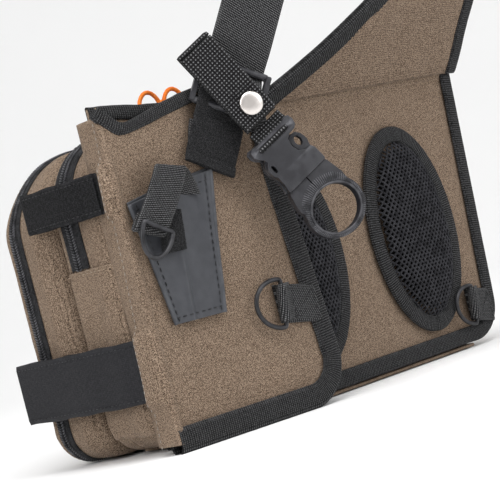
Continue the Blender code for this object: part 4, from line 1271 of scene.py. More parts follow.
def lumbarPad(side, middle):
    rows = []
    for share in (1.0, 0.96, 0.86, 0.7, 0.5, 0.3, 0.12):
        ring = []
        for i in range(56):
            angle = math.tau * i / 56
            dx, dz = pads["halfX"] * share * math.cos(angle), pads["halfZ"] * share * math.sin(angle)
            ring.append(Vector((middle + dx, depth(-0.0012 - padRise(dx, dz) * 0.86), pads["z"] + dz)))
        rows.append(ring)
    order = [[Vector((p.x, depth(-0.0004), p.z)) for p in rows[0]]] + rows
    points = [p for row in order for p in row]
    cushion = outwards(meshObject(f"lumbarCushion_{side}", points, closedTube(len(order), 56), meshGroundAndSlitShade))

    def held(before, shift):
        # the pad stays sewn down round its edge and flat on the panel
        away = math.hypot((before.x - middle) / pads["halfX"], (before.z - pads["z"]) / pads["halfZ"])
        shift = shift * smooth(away, 1.0, 0.75)
        if before.y > depth(-0.0015):
            shift = Vector((0, 0, 0))
        shift.y = min(shift.y, 0.0)
        return shift

    cushion = inflated(cushion, voxel=0.004, pressure=4.0, cap=0.0016, finish=meshGroundAndSlitShade, keepFlat=held)
    # knitted lattice of oval cells standing on the cushion
    parts = []
    columns = int(pads["halfX"] * 2 / pads["holeX"]) + 1
    for k in range(-columns, columns + 1):
        dx = k * pads["holeX"] / 2
        if abs(dx) > pads["halfX"] * 0.97:
            continue
        reach = pads["halfZ"] * math.sqrt(1 - (dx / pads["halfX"]) ** 2) - 0.0005
        line = []
        for i in range(int(reach * 2 / 0.0008)):
            dz = -reach + i * 0.0008
            swing = math.cos(math.pi * (dz / (pads["holeZ"] / 2)) + (math.pi if k % 2 else 0)) * pads["holeX"] * 0.22
            dxx = dx + swing
            line.append(Vector((middle + dxx,
                depth(-0.0012 - padRise(dxx, dz) * 0.86 - 0.0022 * smooth(padRise(dxx, dz), 0,
                0.004)), pads["z"] + dz)))
        if len(line) > 8:
            parts.append(tube(f"yarn{k}", line, pads["yarn"], airMesh, 6, closed=False, flatten=0.8))
    lattice = joined(f"padLattice_{side}", parts)
    worn(lattice, "bag", "air_mesh")
    worn(cushion, "bag", "air_mesh", f"pad_{side}")
    # ribbed tape folded round the pad, its ends lapped at the foot
    line = []
    count = 150
    for i in range(count + 7):
        angle = -math.pi / 2 - 0.05 + math.tau * i / count
        rise = 0.0006 if i > count else 0.0
        line.append(Vector((middle + 0.0440 * math.cos(angle), depth(-0.0010 - rise),
            pads["z"] + 0.0720 * math.sin(angle))))
    normals = [Vector((middle, p.y, pads["z"] + (p.z - pads["z"]) * 0.3)) - p for p in line]
    normals = [Vector((n.x, 0, n.z)).normalized() for n in inwardNormals(line, rearwards)]
    if normals[0].z < 0:
        normals = [-n for n in normals]
    tape = foldedTape(f"padTape_{side}", line, normals, rearwards, 0.0102, 0.0030, 0.0007, binding, depthBack=0.0004,
        wave=0.0005, pitch=0.006)
    inner = [p + n * 0.0085 - Vector((0, 0.0036, 0)) for p, n in zip(line, normals)]
    sewing = runAlong("padSewing", inner, (0, -1, 0), darkThread, **stitch(0.0032, 0.0024, 0.0006, 0.0005))
    worn(joined(f"padEdging_{side}", [tape, sewing]), "bag", "webbing", f"pad_binding_{side}")


lumbarPad("right", pads["rightX"])
lumbarPad("left", pads["leftX"])
print("lumbar pads ready")


# --- side gussets and the folds that hinge the sections ---


def sideGusset(name, side):
    # the lower side cloth runs over both sections; in the bag it fans out as the main compartment opens, here it is
    # built closed and stays put
    front, behind = [], []
    ring = [e for e in ringAt(0.0, bag["mainFloor"]) if e[0] * side > 0 and 0.012 < e[1] <= 0.1140]
    ring.sort(key=lambda e: e[1])
    ring.append((side * bag["half"], 0.1175, side, 0))
    ring.append((side * bag["half"], 0.1190, side, 0))
    levels = [0.0095 + (0.0530 - 0.0095) * i / 26 for i in range(27)]
    dense = []
    for a, b in zip(ring, ring[1:]):
        dense += [tuple(p + (q - p) * k / 2 for p, q in zip(a, b)) for k in range(2)]
    dense.append(ring[-1])
    for entry in dense:
        topFold = 0.0005 * smooth(entry[1], 0.1150, 0.1185)
        front.append([onSkin(entry, t, drawnIn(t),
            0.0012 + topFold - 0.0007 * smooth(abs(t - 0.031), 0.019, 0.0217)) - Vector((side * max(drawnIn(t), 0), 0,
            0)) for t in levels])
        behind.append([onSkin(entry, t, drawnIn(t),
            0.0003) - Vector((side * max(drawnIn(t), 0), 0, 0)) for t in levels])
    cloth = sandwich(name, front, behind, canvas)
    top = [onSkin((side * bag["half"], 0.1168, side, 0), t, drawnIn(t),
        0.0019) - Vector((side * max(drawnIn(t), 0), 0, 0)) for t in levels[1:-1]]
    sewing = runAlong(name + "Sewing", top, (side, 0, 0), brownThread, **stitch(0.0038, 0.0027, 0.0006, 0.0005))
    piece = joined(name, [cloth, sewing])
    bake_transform(piece)


def footHinge(name, t, z, reach=0.0060):
    front, behind = [], []
    for i in range(9):
        s = -1 + 2 * i / 8
        front.append([Vector((-0.135 + 0.27 * j / 30, depth(t + s * reach), z)) for j in range(31)])
        behind.append([Vector((-0.135 + 0.27 * j / 30, depth(t + s * reach), z + 0.0008)) for j in range(31)])
    piece = sandwich(name, front, behind, lining)
    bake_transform(piece)


sideGusset("sideGussetLeft", -1)
sideGusset("sideGussetRight", 1)
footHinge("mainFootHinge", bag["mainZip"], 0.0046)
footHinge("frontFootHinge", bag["frontZip"], 0.0042)


def seamFoldEdge(z):
    # depth at which the outer fold of the back left seam is top-stitched
    return 0.0039 - 0.059 * z


def seamCloth(name, knotsAt):
    # canvas turned round the back left seam, from the side of the bag onto the wing's face
    front, behind = [], []
    for i in range(100):
        z = 0.0050 + (0.2040 - 0.0050) * i / 99
        path = curved([Vector((x, y, 0)) for x, y in knotsAt(z)], 5)
        frontRow, behindRow = [], []
        for k, p in enumerate(path):
            ahead = (path[min(k + 1, len(path) - 1)] - path[max(k - 1, 0)]).normalized()
            out = Vector((ahead.y, -ahead.x, 0))
            if out.x > 0 and out.y > 0:
                out = -out
            ripple = 0.0004 * wobble((p.x, p.y, z), 0.02, 13)
            frontRow.append(Vector((p.x, p.y, z)) + out * ripple)
            behindRow.append(Vector((p.x, p.y, z)) - out * 0.0009)
        front.append(frontRow)
        behind.append(behindRow)
    piece = sandwich(name, front, behind, canvas)
    if name == "seamFold":
        line = [row[3] + Vector((-0.0003, 0, 0)) for row in front]
        piece = joined(name, [piece, runAlong("seamSewing", line, (-1, 0, 0), paleThread,
            **stitch(0.0040, 0.0024, 0.0005, 0.0004))])
    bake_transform(piece)


def foldKnots(z):
    tucked = max(smooth(abs(z - 0.1605), 0.0200, 0.0125), smooth(abs(z - 0.0520), 0.0270, 0.0190))
    x, t = -0.1684 - 0.0042 * tucked, seamFoldEdge(z)
    return [(x, depth(t)), (x - 0.0004, depth(t - 0.0030)), (x * 0.4 - 0.1686 * 0.6 - 0.0004, depth(-0.0112)),
        (-0.1684, depth(-0.0136)),
            (-0.1664, depth(-0.01435)), (-0.1636, depth(-0.0141))]


seamCloth("seamCloth", lambda z: [
    (-0.1640, depth(0.0105)), (-0.1662, depth(0.0060)), (-0.1672, depth(0.0000)), (-0.1678, depth(-0.0070)),
    (-0.1680, depth(-0.0104)), (-0.1672, depth(-0.0126)), (-0.1655, depth(-0.0131)), (-0.1630, depth(-0.0129))])
seamCloth("seamFold", foldKnots)
print("gussets and seams ready")

# --- wing ---

wingShape = {
    "low": 0.0025, "foot": 0.1355, "corner": 0.028, "edge": 0.0008, "front": wingFace,
    "right": [(0.1295, 0.104), (0.1265, 0.140), (0.1245, 0.184), (0.1220, 0.2115)],
    "frontTop": [(0.0008, 0.2095), (0.0085, 0.2020), (0.0171, 0.1972), (0.0340, 0.2008), (0.0500, 0.2052),
        (0.0770, 0.2105), (0.1000, 0.2120), (0.1220, 0.2115)],
    "backTop": [(0.0008, 0.2105), (0.0200, 0.2090), (0.0470, 0.2060), (0.0770, 0.2060), (0.1000, 0.2110),
        (0.1220, 0.2115)],
}


def moved(made, place):
    made.data.transform(place)
    return made


def flat3(points):
    return [Vector((p[0], 0, p[1])) for p in points]


def wingEdges(inset, top):
    low, foot = wingShape["low"] + inset, wingShape["foot"] - inset
    corner = wingShape["corner"] - inset
    bend = [Vector((p.x, 0, p.y)) for p in arcPoints((foot - corner, low + corner), corner, -90, 0, 12)]
    left0, left1 = Vector((wingShape["edge"], 0, low)), Vector((top[0][0], 0, top[0][1]))
    right = bend[6:] + curved([Vector((x - inset, 0, z)) for x, z in wingShape["right"]], 4)
    crown = curved(flat3(top[:-1]) + [right[-1]], 6)
    return [left0] + bend[:7], crown, [left0, left1], right


def wingDip(u, z):
    # how far the front cloth sinks below its outer face
    edge = min(wingShape["foot"] - 0.0135 - u, z - 0.0150) if z < 0.15 else wingShape["foot"] - 0.0235 - u
    dip = 0.0013 * smooth(edge, 0.012, 0.0) + 0.0006 * smooth(u, 0.012, 0.0)
    dip += 0.0016 * smooth(z, 0.178, 0.194) * smooth(u, 0.058, 0.074)
    crease = wobble((u, 1, z), 0.045, 11)
    dip += 0.0011 * abs(crease) * smooth(u, 0.0, 0.02) + 0.0004 * abs(wobble((u, 2, z), 0.013, 4))
    return dip


bottom, crown, leftSide, right = wingEdges(0.0022, wingShape["frontTop"])
grid = coons(bottom, crown, leftSide, right, 118, 168)


def wingFaceY(p):
    # the front cloth, pushed out a little where the mouth hangs open
    mouth = smooth(p.z, 0.155, 0.200) * smooth(p.x, 0.070, 0.020)
    return wingShape["front"] + wingDip(p.x, p.z) - 0.0026 * mouth


skins = twoSkins(grid, lambda p, i, j: (Vector((p.x, wingFaceY(p), p.z)), Vector((p.x, wingFaceY(p) + 0.0016, p.z))))
wingFront = moved(sandwich("wingFrontCloth", *skins, canvas), wingPlace)
wingLip = [Vector((p.x, wingFaceY(p) + 0.0006, p.z)) for p in crown if p.x < 0.078]
lipIn = inwardNormals(wingLip, rearwards)
if lipIn[len(lipIn) // 2].z > 0:
    lipIn = [-n for n in lipIn]
wingLip = resampled(wingLip, 90)
lipIn = resampled(lipIn, 90)
lipRoll = moved(foldedTape("wingLipTape", wingLip, [n.normalized() for n in lipIn], rearwards, 0.0075, 0.0016, 0.0008,
    binding, depthBack=0.0016, wave=0.0004, pitch=0.008), wingPlace)
lipLine = [p + n * 0.0062 + Vector((0, -0.0024, 0)) for p, n in zip(wingLip[2:], lipIn[2:])]
lipSewing = moved(runAlong("wingLipSewing", lipLine, (0, -1, 0), darkThread,
    **stitch(0.0040, 0.0028, 0.0006, 0.0005)), wingPlace)
worn(joined("wingFrontPanel", [wingFront, lipRoll, lipSewing]), "wing", "canvas", "wing_front")

bottom, crown, leftSide, right = wingEdges(0.0022, wingShape["backTop"])
grid = coons(bottom, crown, leftSide, right, 60, 84)


def wingBackPair(p, i, j):
    ripple = 0.0006 * wobble((p.x, 3, p.z), 0.04, 12)
    return Vector((p.x, -0.0020 + ripple, p.z)), Vector((p.x, -0.0004 + ripple * 0.4, p.z))


wingBack = moved(sandwich("wingBackCloth", *twoSkins(grid, wingBackPair), canvas), wingPlace)
backLip = [Vector((p.x, -0.0012, p.z + 0.0002)) for p in crown if p.x < 0.080]
backLip = resampled(backLip, 70)
backIn = [Vector((0, 0, -1))] * len(backLip)
backRoll = moved(foldedTape("wingBackTape", backLip, backIn, rearwards, 0.0080, 0.0022, 0.0008, binding,
    depthBack=0.0012, wave=0.0004, pitch=0.008), wingPlace)
worn(joined("wingBackPanel", [wingBack, backRoll]), "wing", "canvas", "wing_backing")

low, foot, corner = wingShape["low"], wingShape["foot"], wingShape["corner"]
bend = [Vector((p.x, 0, p.y)) for p in arcPoints((foot - corner, low + corner), corner, -90, 0, 24)]
tip = [Vector((0.1222, 0, 0.2080)), Vector((0.1205, 0, 0.2112)), Vector((0.1165, 0, 0.2122))]
edge = [Vector((0.0008, 0, low))] + bend + flat3(wingShape["right"][:3]) + tip + flat3([(0.1000, 0.2112),
    (0.0790, 0.2064)])
edge = resampled(edge, 260)
edge = [Vector((p.x, wingShape["front"], p.z)) for p in edge]
normals = inwardNormals(edge, rearwards)
if normals[0].z < 0:
    normals = [-n for n in normals]
tape = foldedTape("wingTape", edge, normals, rearwards, 0.0125, 0.0010, 0.0009, binding, depthBack=0.0104,
    wave=0.0005, pitch=0.010)
innerLine = [p + n * 0.0108 - Vector((0, 0.0018, 0)) for p, n in zip(edge, normals)]
sewing = runAlong("wingTapeSewing", innerLine, (0, -1, 0), darkThread, **stitch(0.0036, 0.0027, 0.0007, 0.0006))
worn(moved(joined("wingEdging", [tape, sewing]), wingPlace), "wing", "webbing", "wing_binding")
nodes["wing_foam"].data.materials.clear()
nodes["wing_foam"].data.materials.append(foamFinish)
print("wing ready")

# --- plier holster on the wing ---

holsterShape = {
    "bottom": [(0.0175, 0.0740), (0.0545, 0.0735)], "top": [(0.0056, 0.1495), (0.0400, 0.1560), (0.0708, 0.1600)],
    "backTop": [(0.0056, 0.1510), (0.0400, 0.1575), (0.0708, 0.1615)],
    "face": wingFace - 0.0003, "wall": 0.0014, "swell": 0.0056,
}


def leatherGrid(top, swell, y):
    left = [holsterShape["bottom"][0], (0.0118, 0.1120), top[0]]
    right = [holsterShape["bottom"][1], (0.0622, 0.1180), top[-1]]
    grid = coons(flat3(holsterShape["bottom"]), curved(flat3(top), 6), curved(flat3(left), 6),
        curved(flat3(right), 6), 64, 84)
    rows = []
    for i, row in enumerate(grid):
        v = i / (len(grid) - 1)
        out = []
        for j, p in enumerate(row):
            u = j / (len(row) - 1)
            shape = math.sin(math.pi * smooth(u, 0.06, 0.90)) ** 0.8
            fold = (0.0012 * math.exp(-((u - 0.34 - 0.1 * v) / 0.045) ** 2)
                    - 0.0008 * math.exp(-((u - 0.42 - 0.1 * v) / 0.06) ** 2))
            hem = 0.0012 * smooth(u, 0.90, 0.95)
            lift = swell * shape * (0.22 + 0.78 * v) + (fold * shape + hem + 0.0004 * wobble((p.x, 0, p.z), 0.012,
                6)) * (1 if swell else 0.3)
            out.append(Vector((p.x, y - lift, p.z)))
        rows.append(out)
    return rows


def leatherPanel(name, top, swell, y):
    rows = leatherGrid(top, swell, y)
    behind = [[p + Vector((0, holsterShape["wall"], 0)) for p in row] for row in rows]
    return bevelled(sandwich(name, rows, behind, leather), 0.0004, 2), rows


backY = holsterShape["face"] - holsterShape["wall"]
holsterBack, _ = leatherPanel("holsterBack", holsterShape["backTop"], 0.0, backY)
holsterFront, rows = leatherPanel("holsterFront", holsterShape["top"], holsterShape["swell"], backY - 0.0018)
parts = [holsterBack, holsterFront]
cols = len(rows[0])
runs = []
for column in (4, cols - 6):
    runs.append([rows[i][column] for i in range(3, len(rows) - 3)])
for level in (4, len(rows) - 6):
    runs.append([rows[level][j] for j in range(4, cols - 5)])
for line in runs:
    line = [p + Vector((0, -0.0003, 0)) for p in line]
    parts.append(runAlong("holsterSewing", line, (0, -1, 0), darkThread, **stitch(0.0044, 0.0031, 0.0008, 0.0006)))
for column in (0, cols - 1):
    # turned side hems close the sleeve
    line = [rows[i][column] + Vector((0.0006 if column == 0 else -0.0006, 0.0010, 0)) for i in range(len(rows))]
    parts.append(tube("holsterHem", line, 0.0015, leather, 10, closed=False, flatten=1.0))
worn(moved(joined("plierHolster", parts), wingPlace), "wing", "leather", "holster")


def fuzzySlab(name, corners, y, thick, finish):
    low, right, far, high = corners
    grid = coons([low, right], [high, far], [low, high], [right, far], 44, 44)

    def pair(p, i, j):
        fuzz = 0.75 + 0.45 * wobble((p.x, 0, p.z), 0.0011, 3)
        return Vector((p.x, y - thick * fuzz, p.z)), Vector((p.x, y, p.z))

    return sandwich(name, *twoSkins(grid, pair), finish)


patchY = backY - 0.0018 - 0.0050
patch = fuzzySlab("hookPatch", flat3([(0.0160, 0.1160), (0.0340, 0.1160), (0.0370, 0.1400), (0.0210, 0.1440)]),
    patchY, 0.0013, fuzzyTape)
worn(moved(patch, wingPlace), "wing", "webbing", "hook_patch")

loopY = backY - 0.0068 - 0.0015
loopPath = curved([
    (0.0445, loopY + 0.0030, 0.1480), (0.0415, loopY + 0.0012, 0.1580), (0.0365, loopY - 0.0016, 0.1650),
    (0.0337, loopY - 0.0040, 0.1652), (0.0295, loopY - 0.0046, 0.1590), (0.0195, loopY - 0.0042, 0.1450), (0.0110,
        loopY - 0.0034, 0.1340),
    (0.0090, loopY - 0.0030, 0.1312), (0.0083, loopY - 0.0008, 0.1305), (0.0100, loopY + 0.0006, 0.1325), (0.0165,
        loopY + 0.0012, 0.1400),
], 10)
loopAcross = [Vector((0.985, 0, -0.16))] * 30 + [Vector((0.93, 0, -0.36))] * (len(loopPath) - 30)
loopAcross = [sum(loopAcross[max(0, i - 12):i + 13], Vector()).normalized() for i in range(len(loopAcross))]
holsterLoop = ribbon("holsterLoop", loopPath, loopAcross, 0.0225, 0.0018, webbing, wingPlace, edge=0.0003, cols=17,
    skewed=True)
worn(holsterLoop, "wing", "webbing", "holster_loop")


def ringPiece(name, node, body, place, centre, half, reach, out):
    # bent wire D; the weld at the middle of the bar is not modelled
    out = Vector(out).normalized()
    along = Vector((0, 0, 1)) if abs(out.x) > abs(out.z) else sideways
    points = [along * half * 0.92, along * half * 0.3, -along * half * 0.3, -along * half * 0.92]
    for i in range(15):
        angle = -math.pi / 2 + math.pi * i / 14
        points.append(out * (reach * (0.16 + 0.84 * math.cos(angle))) + along * half * math.sin(angle))
    path = resampled(curved(points, 6, closed=True), 96, closed=True)
    ring = tube(name, [Vector(centre) + p for p in path], 0.00145, coatedWire, 14, place=place)
    return worn(ring, body, "wire", node)


ringY = loopY - 0.0036 - 0.0009 - 0.0014 - 0.0003
ringPiece("holsterRing", "holster_d_ring", "holster_ring",
          wingPlace @ Matrix.Translation((0.0130, ringY, 0.1325)) @ Matrix.Rotation(math.radians(30), 4, "Y"),
          (0, 0, 0), 0.0105, 0.0190, (0, 0, -1))
tabFace = wingFace - 0.0003
ringPiece("wingRing", "wing_d_ring", "wing_ring",
          wingPlace @ Matrix.Translation((0.0985, tabFace - 0.0030 - 0.0003 - 0.0014,
              0.0690)) @ Matrix.Rotation(math.radians(8), 4, "Y"),
          (0, 0, 0), 0.0150, 0.0210, (-1, 0, 0))
backFace = depth(-0.0021) - 0.0003
ringPiece("backRing", "back_d_ring", "back_ring",
          Matrix.Translation((0.1385, backFace - 0.0030 - 0.0003 - 0.0014, 0.0290)) @ Matrix.Rotation(math.radians(8),
              4, "Y"),
          (0, 0, 0), 0.0135, 0.0190, (-1, 0, 0))


def sewnTab(name, node, body, corners, face, place):
    # webbing doubled round the ring's bar and box-stitched down
    low, right, far, high = flat3(corners)
    grid = coons([low, right], [high, far], [low, high], [right, far], 40, 40)

    def pair(p, i, j):
        lift = 0.0028 - 0.0012 * smooth(j / 39, 0.30, 0.95) - 0.0008 * smooth(abs(i / 39 - 0.5), 0.42, 0.5)
        return Vector((p.x, face - lift, p.z)), Vector((p.x, face, p.z))

    front, behind = twoSkins(grid, pair)
    uvs = [[(i / 39 * 0.025, j / 39 * 0.027) for j in range(40)] for i in range(40)]
    parts = [bevelled(sandwich(name, front, behind, webbing, uvs), 0.0005)]
    box = [front[5][14], front[5][36], front[34][36], front[34][14], front[5][14], front[34][36]]
    line = [p + Vector((0, -0.0003, 0)) for p in resampled(box, 60)]
    parts.append(runAlong("tabSewing", line, (0, -1, 0), darkThread, **stitch(0.0030, 0.0024, 0.0007, 0.0006)))
    # the fold round the ring's bar
    barX, barY = (corners[0][0] + 0.0020), face - 0.0047
    middle = (corners[0][1] + corners[3][1]) / 2
    around = [(barX + 0.0090, face - 0.0026), (barX + 0.0045, barY + 0.0002), (barX + 0.0018, barY - 0.0022),
        (barX, barY - 0.0026),
              (barX - 0.0022, barY - 0.0016), (barX - 0.0028, barY), (barX - 0.0020, barY + 0.0020), (barX + 0.0004,
                  face - 0.0010)]
    lean = Vector((math.sin(math.radians(8)), 0, math.cos(math.radians(8))))
    sleeve = curved([Vector((x, y, middle)) for x, y in around], 6)
    parts.append(ribbon("tabSleeve", sleeve, lean, abs(corners[3][1] - corners[0][1]) - 0.0010, 0.0011, webbing,
        cols=13))
    piece = joined(name, parts)
    if place:
        moved(piece, place)
    return worn(piece, body, "webbing", node)


sewnTab("wingTab", "wing_tab", "wing", [(0.0965, 0.0570), (0.1290, 0.0515), (0.1290, 0.0760), (0.0965, 0.0815)],
    tabFace, wingPlace)
sewnTab("backTab", "back_tab", "bag", [(0.1365, 0.0180), (0.1620, 0.0130), (0.1620, 0.0370), (0.1365, 0.0420)],
    backFace, None)
print("wing hardware ready")

# --- rod bands on the left side ---


def rodBand(name, node, low, high, reach, thick, finish):
    # one length of tape doubled back on itself, standing out from the seam
    x = -bag["half"] - 0.0011 - 0.0006 - thick
    gap = 0.0052
    inner, outer = x, x - gap - thick
    y0, y1 = depth(0.0004), depth(reach)
    path = [(inner, y0), (inner - 0.0003, y0 + 0.012), (inner - 0.0006, (y0 + y1) / 2), (inner, y1 - 0.008),
        (inner - 0.0008, y1 - 0.0026)]
    path += [(inner - gap * 0.5 - thick / 2, y1 - thick / 2), (outer + 0.0008, y1 - 0.0026), (outer, y1 - 0.008),
        (outer - 0.0004, (y0 + y1) / 2), (outer + 0.0010, y0 + 0.020), (inner - thick - 0.0016,
        y0 + 0.007), (inner - thick - 0.0004, y0)]
    path = curved([Vector((px, py, (low + high) / 2)) for px, py in path], 10)
    width = high - low
    band = ribbon(name, path, Vector((0, 0, 1)), width, thick, finish, edge=0.0002, cols=15)
    for vertex in band.data.vertices:
        sway = 0.0007 * wobble((vertex.co.x, vertex.co.y * 2, 0), 0.03, 5)
        vertex.co.z += sway
    parts = [band]
    for sign in (-1, 1):
        line = [Vector((p.x - (thick / 2 + 0.0002), p.y, p.z + sign * (width / 2 - 0.0028))) for k,
            p in enumerate(path) if k > len(path) * 0.62]
        parts.append(runAlong("bandSewing", line, (-1, 0, 0), darkThread, **stitch(0.0034, 0.0026, 0.0006, 0.0005)))
    return worn(joined(name, parts), node.replace("_rod", ""), "webbing", node)


rootPath = [Vector((-0.1688 - 0.0004 * k / 8, depth(-0.0062 + 0.0010 * k), 0.1605)) for k in range(9)]
worn(ribbon("upperBandRoot", rootPath, Vector((0, 0, 1)), 0.0246, 0.0012, knitBand, cols=15), "bag", "webbing")
rodBand("upperRodBand", "upper_band", 0.1480, 0.1730, 0.0690, 0.0016, knitBand)
rodBand("lowerRodBand", "lower_band", 0.0330, 0.0710, 0.1135, 0.0020, satinBand)
print("rod bands ready")


# --- shoulder yoke ---

yoke = {
    "left": [(-0.0240, -0.0300, 0.1966), (-0.0150, -0.0335, 0.2000), (0.0380, -0.0560, 0.2275),
        (0.0850, -0.0780, 0.2600), (0.1130, -0.0930, 0.3000)],
    "right": [(0.1850, -0.0300, 0.1966), (0.1850, -0.0335, 0.2000), (0.1830, -0.0540, 0.2275),
        (0.1815, -0.0780, 0.2600), (0.1800, -0.0930, 0.3000)],
    "half": 0.0024, "tape": 0.0092,
}
leftEdge = resampled(curved(yoke["left"], 8), 64)
rightEdge = resampled(curved(yoke["right"], 8), 64)


def yokeGrid(shrink, offset, cols=72):
    rows = []
    for i, (a, b) in enumerate(zip(leftEdge, rightEdge)):
        a2, b2 = a.lerp(b, shrink), b.lerp(a, shrink)
        before, after = leftEdge[max(i - 1, 0)], leftEdge[min(i + 1, 63)]
        up = ((after + rightEdge[min(i + 1, 63)]) - (before + rightEdge[max(i - 1, 0)])).normalized()
        out = up.cross((b - a).normalized()).normalized()
        if out.y > 0:
            out = -out
        row = []
        for j in range(cols):
            s = j / (cols - 1)
            p = a2.lerp(b2, s)
            edge = min(s, 1 - s) * (b - a).length
            puff = smooth(edge, 0.0, 0.016) * smooth(i, 0, 6)
            crease = 0.0016 * wobble((p.x, p.y, p.z), 0.05, 21) + 0.0006 * wobble((p.x, p.y, p.z), 0.016, 22)
            row.append(p + out * (offset + (0.0010 * puff + crease * puff * (1 if offset > 0 else 0))))
        rows.append(row)
    return rows


front, behind = yokeGrid(0.012, yoke["half"] - 0.0002), yokeGrid(0.012, -yoke["half"])
yokeCloth = sandwich("yokeCloth", front, behind, canvas)
worn(yokeCloth, "shoulder_strap", "canvas", "shoulder_yoke")
front, behind = [], []
creasePath = curved([Vector((0, -0.0268, 0.1915)), Vector((0, -0.0282, 0.1945)), Vector((0, -0.0302, 0.1975)),
    Vector((0, -0.0322, 0.2000)), Vector((0, -0.0340, 0.2022))], 3)
for y, z in [(p.y, p.z) for p in creasePath]:
    front.append([Vector((-0.0130 + 0.1950 * k / 40, y - 0.0006, z)) for k in range(41)])
    behind.append([Vector((-0.0130 + 0.1950 * k / 40, y + 0.0008, z)) for k in range(41)])
creaseCloth = sandwich("yokeCreaseCloth", front, behind, canvas)
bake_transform(creaseCloth)


def yokeTape(name, edge, other):
    line = edge[1:]
    rows = [(b - a).normalized() for a, b in zip(edge, other)][1:]
    section, width = [], yoke["tape"]
    half = yoke["half"] + 0.0016
    for k in range(7):
        section.append((width * (1 - k / 6), half - (0.0005 if k == 0 else 0)))
    for k in range(1, 6):
        angle = math.pi * k / 6
        section.append((-half * 0.9 * math.sin(angle), half * math.cos(angle)))
    for k in range(7):
        section.append((width * k / 6, -half))
    inside = [(max(a, 0.0) if abs(b) < half * 0.98 else a, b - (0.0008 if b > 0 else -0.0008)) for a, b in section]
    loop = section + inside[::-1]
    lengths = lengthsAlong(line)
    points, uvs = [], []
    for i, here in enumerate(line):
        ahead = (line[min(i + 1, len(line) - 1)] - line[max(i - 1, 0)]).normalized()
        inward = (rows[i] - ahead * rows[i].dot(ahead)).normalized()
        out = ahead.cross(inward)
        if out.y > 0:
            out = -out
        ruffle = 0.0004 * wobble((lengths[i], 0, 0), 0.012, 9)
        for a, b in loop:
            points.append(here + inward * (a - ruffle) + out * (b + ruffle * 0.5))
            uvs.append((a, lengths[i]))
    ring = len(loop)
    tape = outwards(meshObject(name, points, closedTube(len(line), ring), binding, uvs))
    sewingLine = [points[i * ring + 1] * 0.7 + points[i * ring] * 0.3 for i in range(len(line))]
    ups = []
    for i in range(len(line)):
        ahead = (line[min(i + 1, len(line) - 1)] - line[max(i - 1, 0)]).normalized()
        out = ahead.cross(rows[i])
        ups.append(-out if out.y > 0 else out)
    sewingLine = [p + u * 0.0003 for p, u in zip(sewingLine, ups)]
    sewing = runAlong(name + "Sewing", sewingLine, ups, darkThread, **stitch(0.0036, 0.0027, 0.0007, 0.0006))
    return [tape, sewing]


leftDense = resampled(leftEdge, 150)
rightDense = resampled(rightEdge, 150)
worn(joined("yokeEdging", yokeTape("yokeTapeLeft", leftDense, rightDense) + yokeTape("yokeTapeRight", rightDense,
    leftDense)), "shoulder_strap", "webbing")
print("yoke ready")

# --- shoulder webbing, buckle and ladder lock ---

strap = {"width": 0.038, "thick": 0.0016, "rise": 0.158}
lean = Vector((math.sin(math.radians(30)) * math.cos(math.radians(30)), -math.sin(math.radians(30)) ** 2,
    math.cos(math.radians(30))))
riseTop = strapOrigin + lean * strap["rise"]
knots = [Vector(p) for p in (
    (0.1465, -0.0925, 0.2960), (0.1470, -0.0950, 0.3300), (0.1340, -0.0970, 0.3620), (0.1020, -0.0980, 0.3850),
    (0.0620, -0.0980, 0.3880), (0.0290, -0.0985, 0.3740),
)]
knots += [riseTop + lean * 0.014, riseTop + lean * 0.002]
turns = [(1, 0, 0), (1, -0.15, 0.1), (0.72, -0.60, 0.35), (0.35, -0.92, 0.15), (0.02, -1, 0), (0.30, -0.90, -0.12)]
flat = Vector((math.cos(math.radians(30)), -math.sin(math.radians(30)), 0))
side = (flat - lean * flat.dot(lean)).normalized()
acrossKnots = []
for i in range(len(knots)):
    if i >= len(turns):
        acrossKnots.append(side)
        continue
    ahead = (knots[min(i + 1, len(knots) - 1)] - knots[max(i - 1, 0)]).normalized()
    turn = Vector(turns[i])
    acrossKnots.append((turn - ahead * turn.dot(ahead)).normalized())
path, across = curved(knots, 26), [v.normalized() for v in curved(acrossKnots, 26)]
upper = ribbon("upperWebbing", path, across, strap["width"], strap["thick"], webbing, edge=0.0003, cols=19)
worn(upper, "shoulder_strap", "webbing", "shoulder_webbing")

length = strap["rise"] - 0.058
lowerPath = curved([(0, 0.0026, -0.0060), (0, 0.0026, 0.0060), (0, 0.0022, 0.0180), (0, 0.0002, 0.0300),
    (0, 0, 0.0450), (0, 0, length - 0.0028)], 14)
lower = ribbon("lowerWebbing", lowerPath, sideways, strap["width"], strap["thick"], webbing, strapPlace, edge=0.0004,
    cols=23)
worn(lower, "lower_strap", "webbing", "lower_webbing")

base = length + 0.0003
plugOutline = [(-0.021, base), (0.021, base), (0.021, base + 0.012), (0.0165, base + 0.012), (0.0165, base + 0.034),
               (0.0115, base + 0.038), (0.0115, base + 0.012), (-0.0115, base + 0.012), (-0.0115, base + 0.038),
               (-0.0165, base + 0.034), (-0.0165, base + 0.012), (-0.021, base + 0.012)]
plug = bevelled(extruded("strapPlugBody", [plugOutline], 0.0020, -0.0020, plastic, strapPlace), 0.0009, 3)
worn(plug, "shoulder_strap", "plastic", "strap_plug")
wrap = curved([(0, -0.0027, base + 0.0060), (0, -0.0030, base + 0.0010), (0, -0.0018, base - 0.0014),
    (0, 0, base - 0.0020), (0, 0.0018, base - 0.0014), (0, 0.0030, base + 0.0010), (0, 0.0027, base + 0.0060)], 6)
worn(ribbon("plugWrap", wrap, sideways, strap["width"] - 0.001, 0.0008, webbing, strapPlace, cols=15),
    "shoulder_strap", "webbing")
top = strap["rise"]
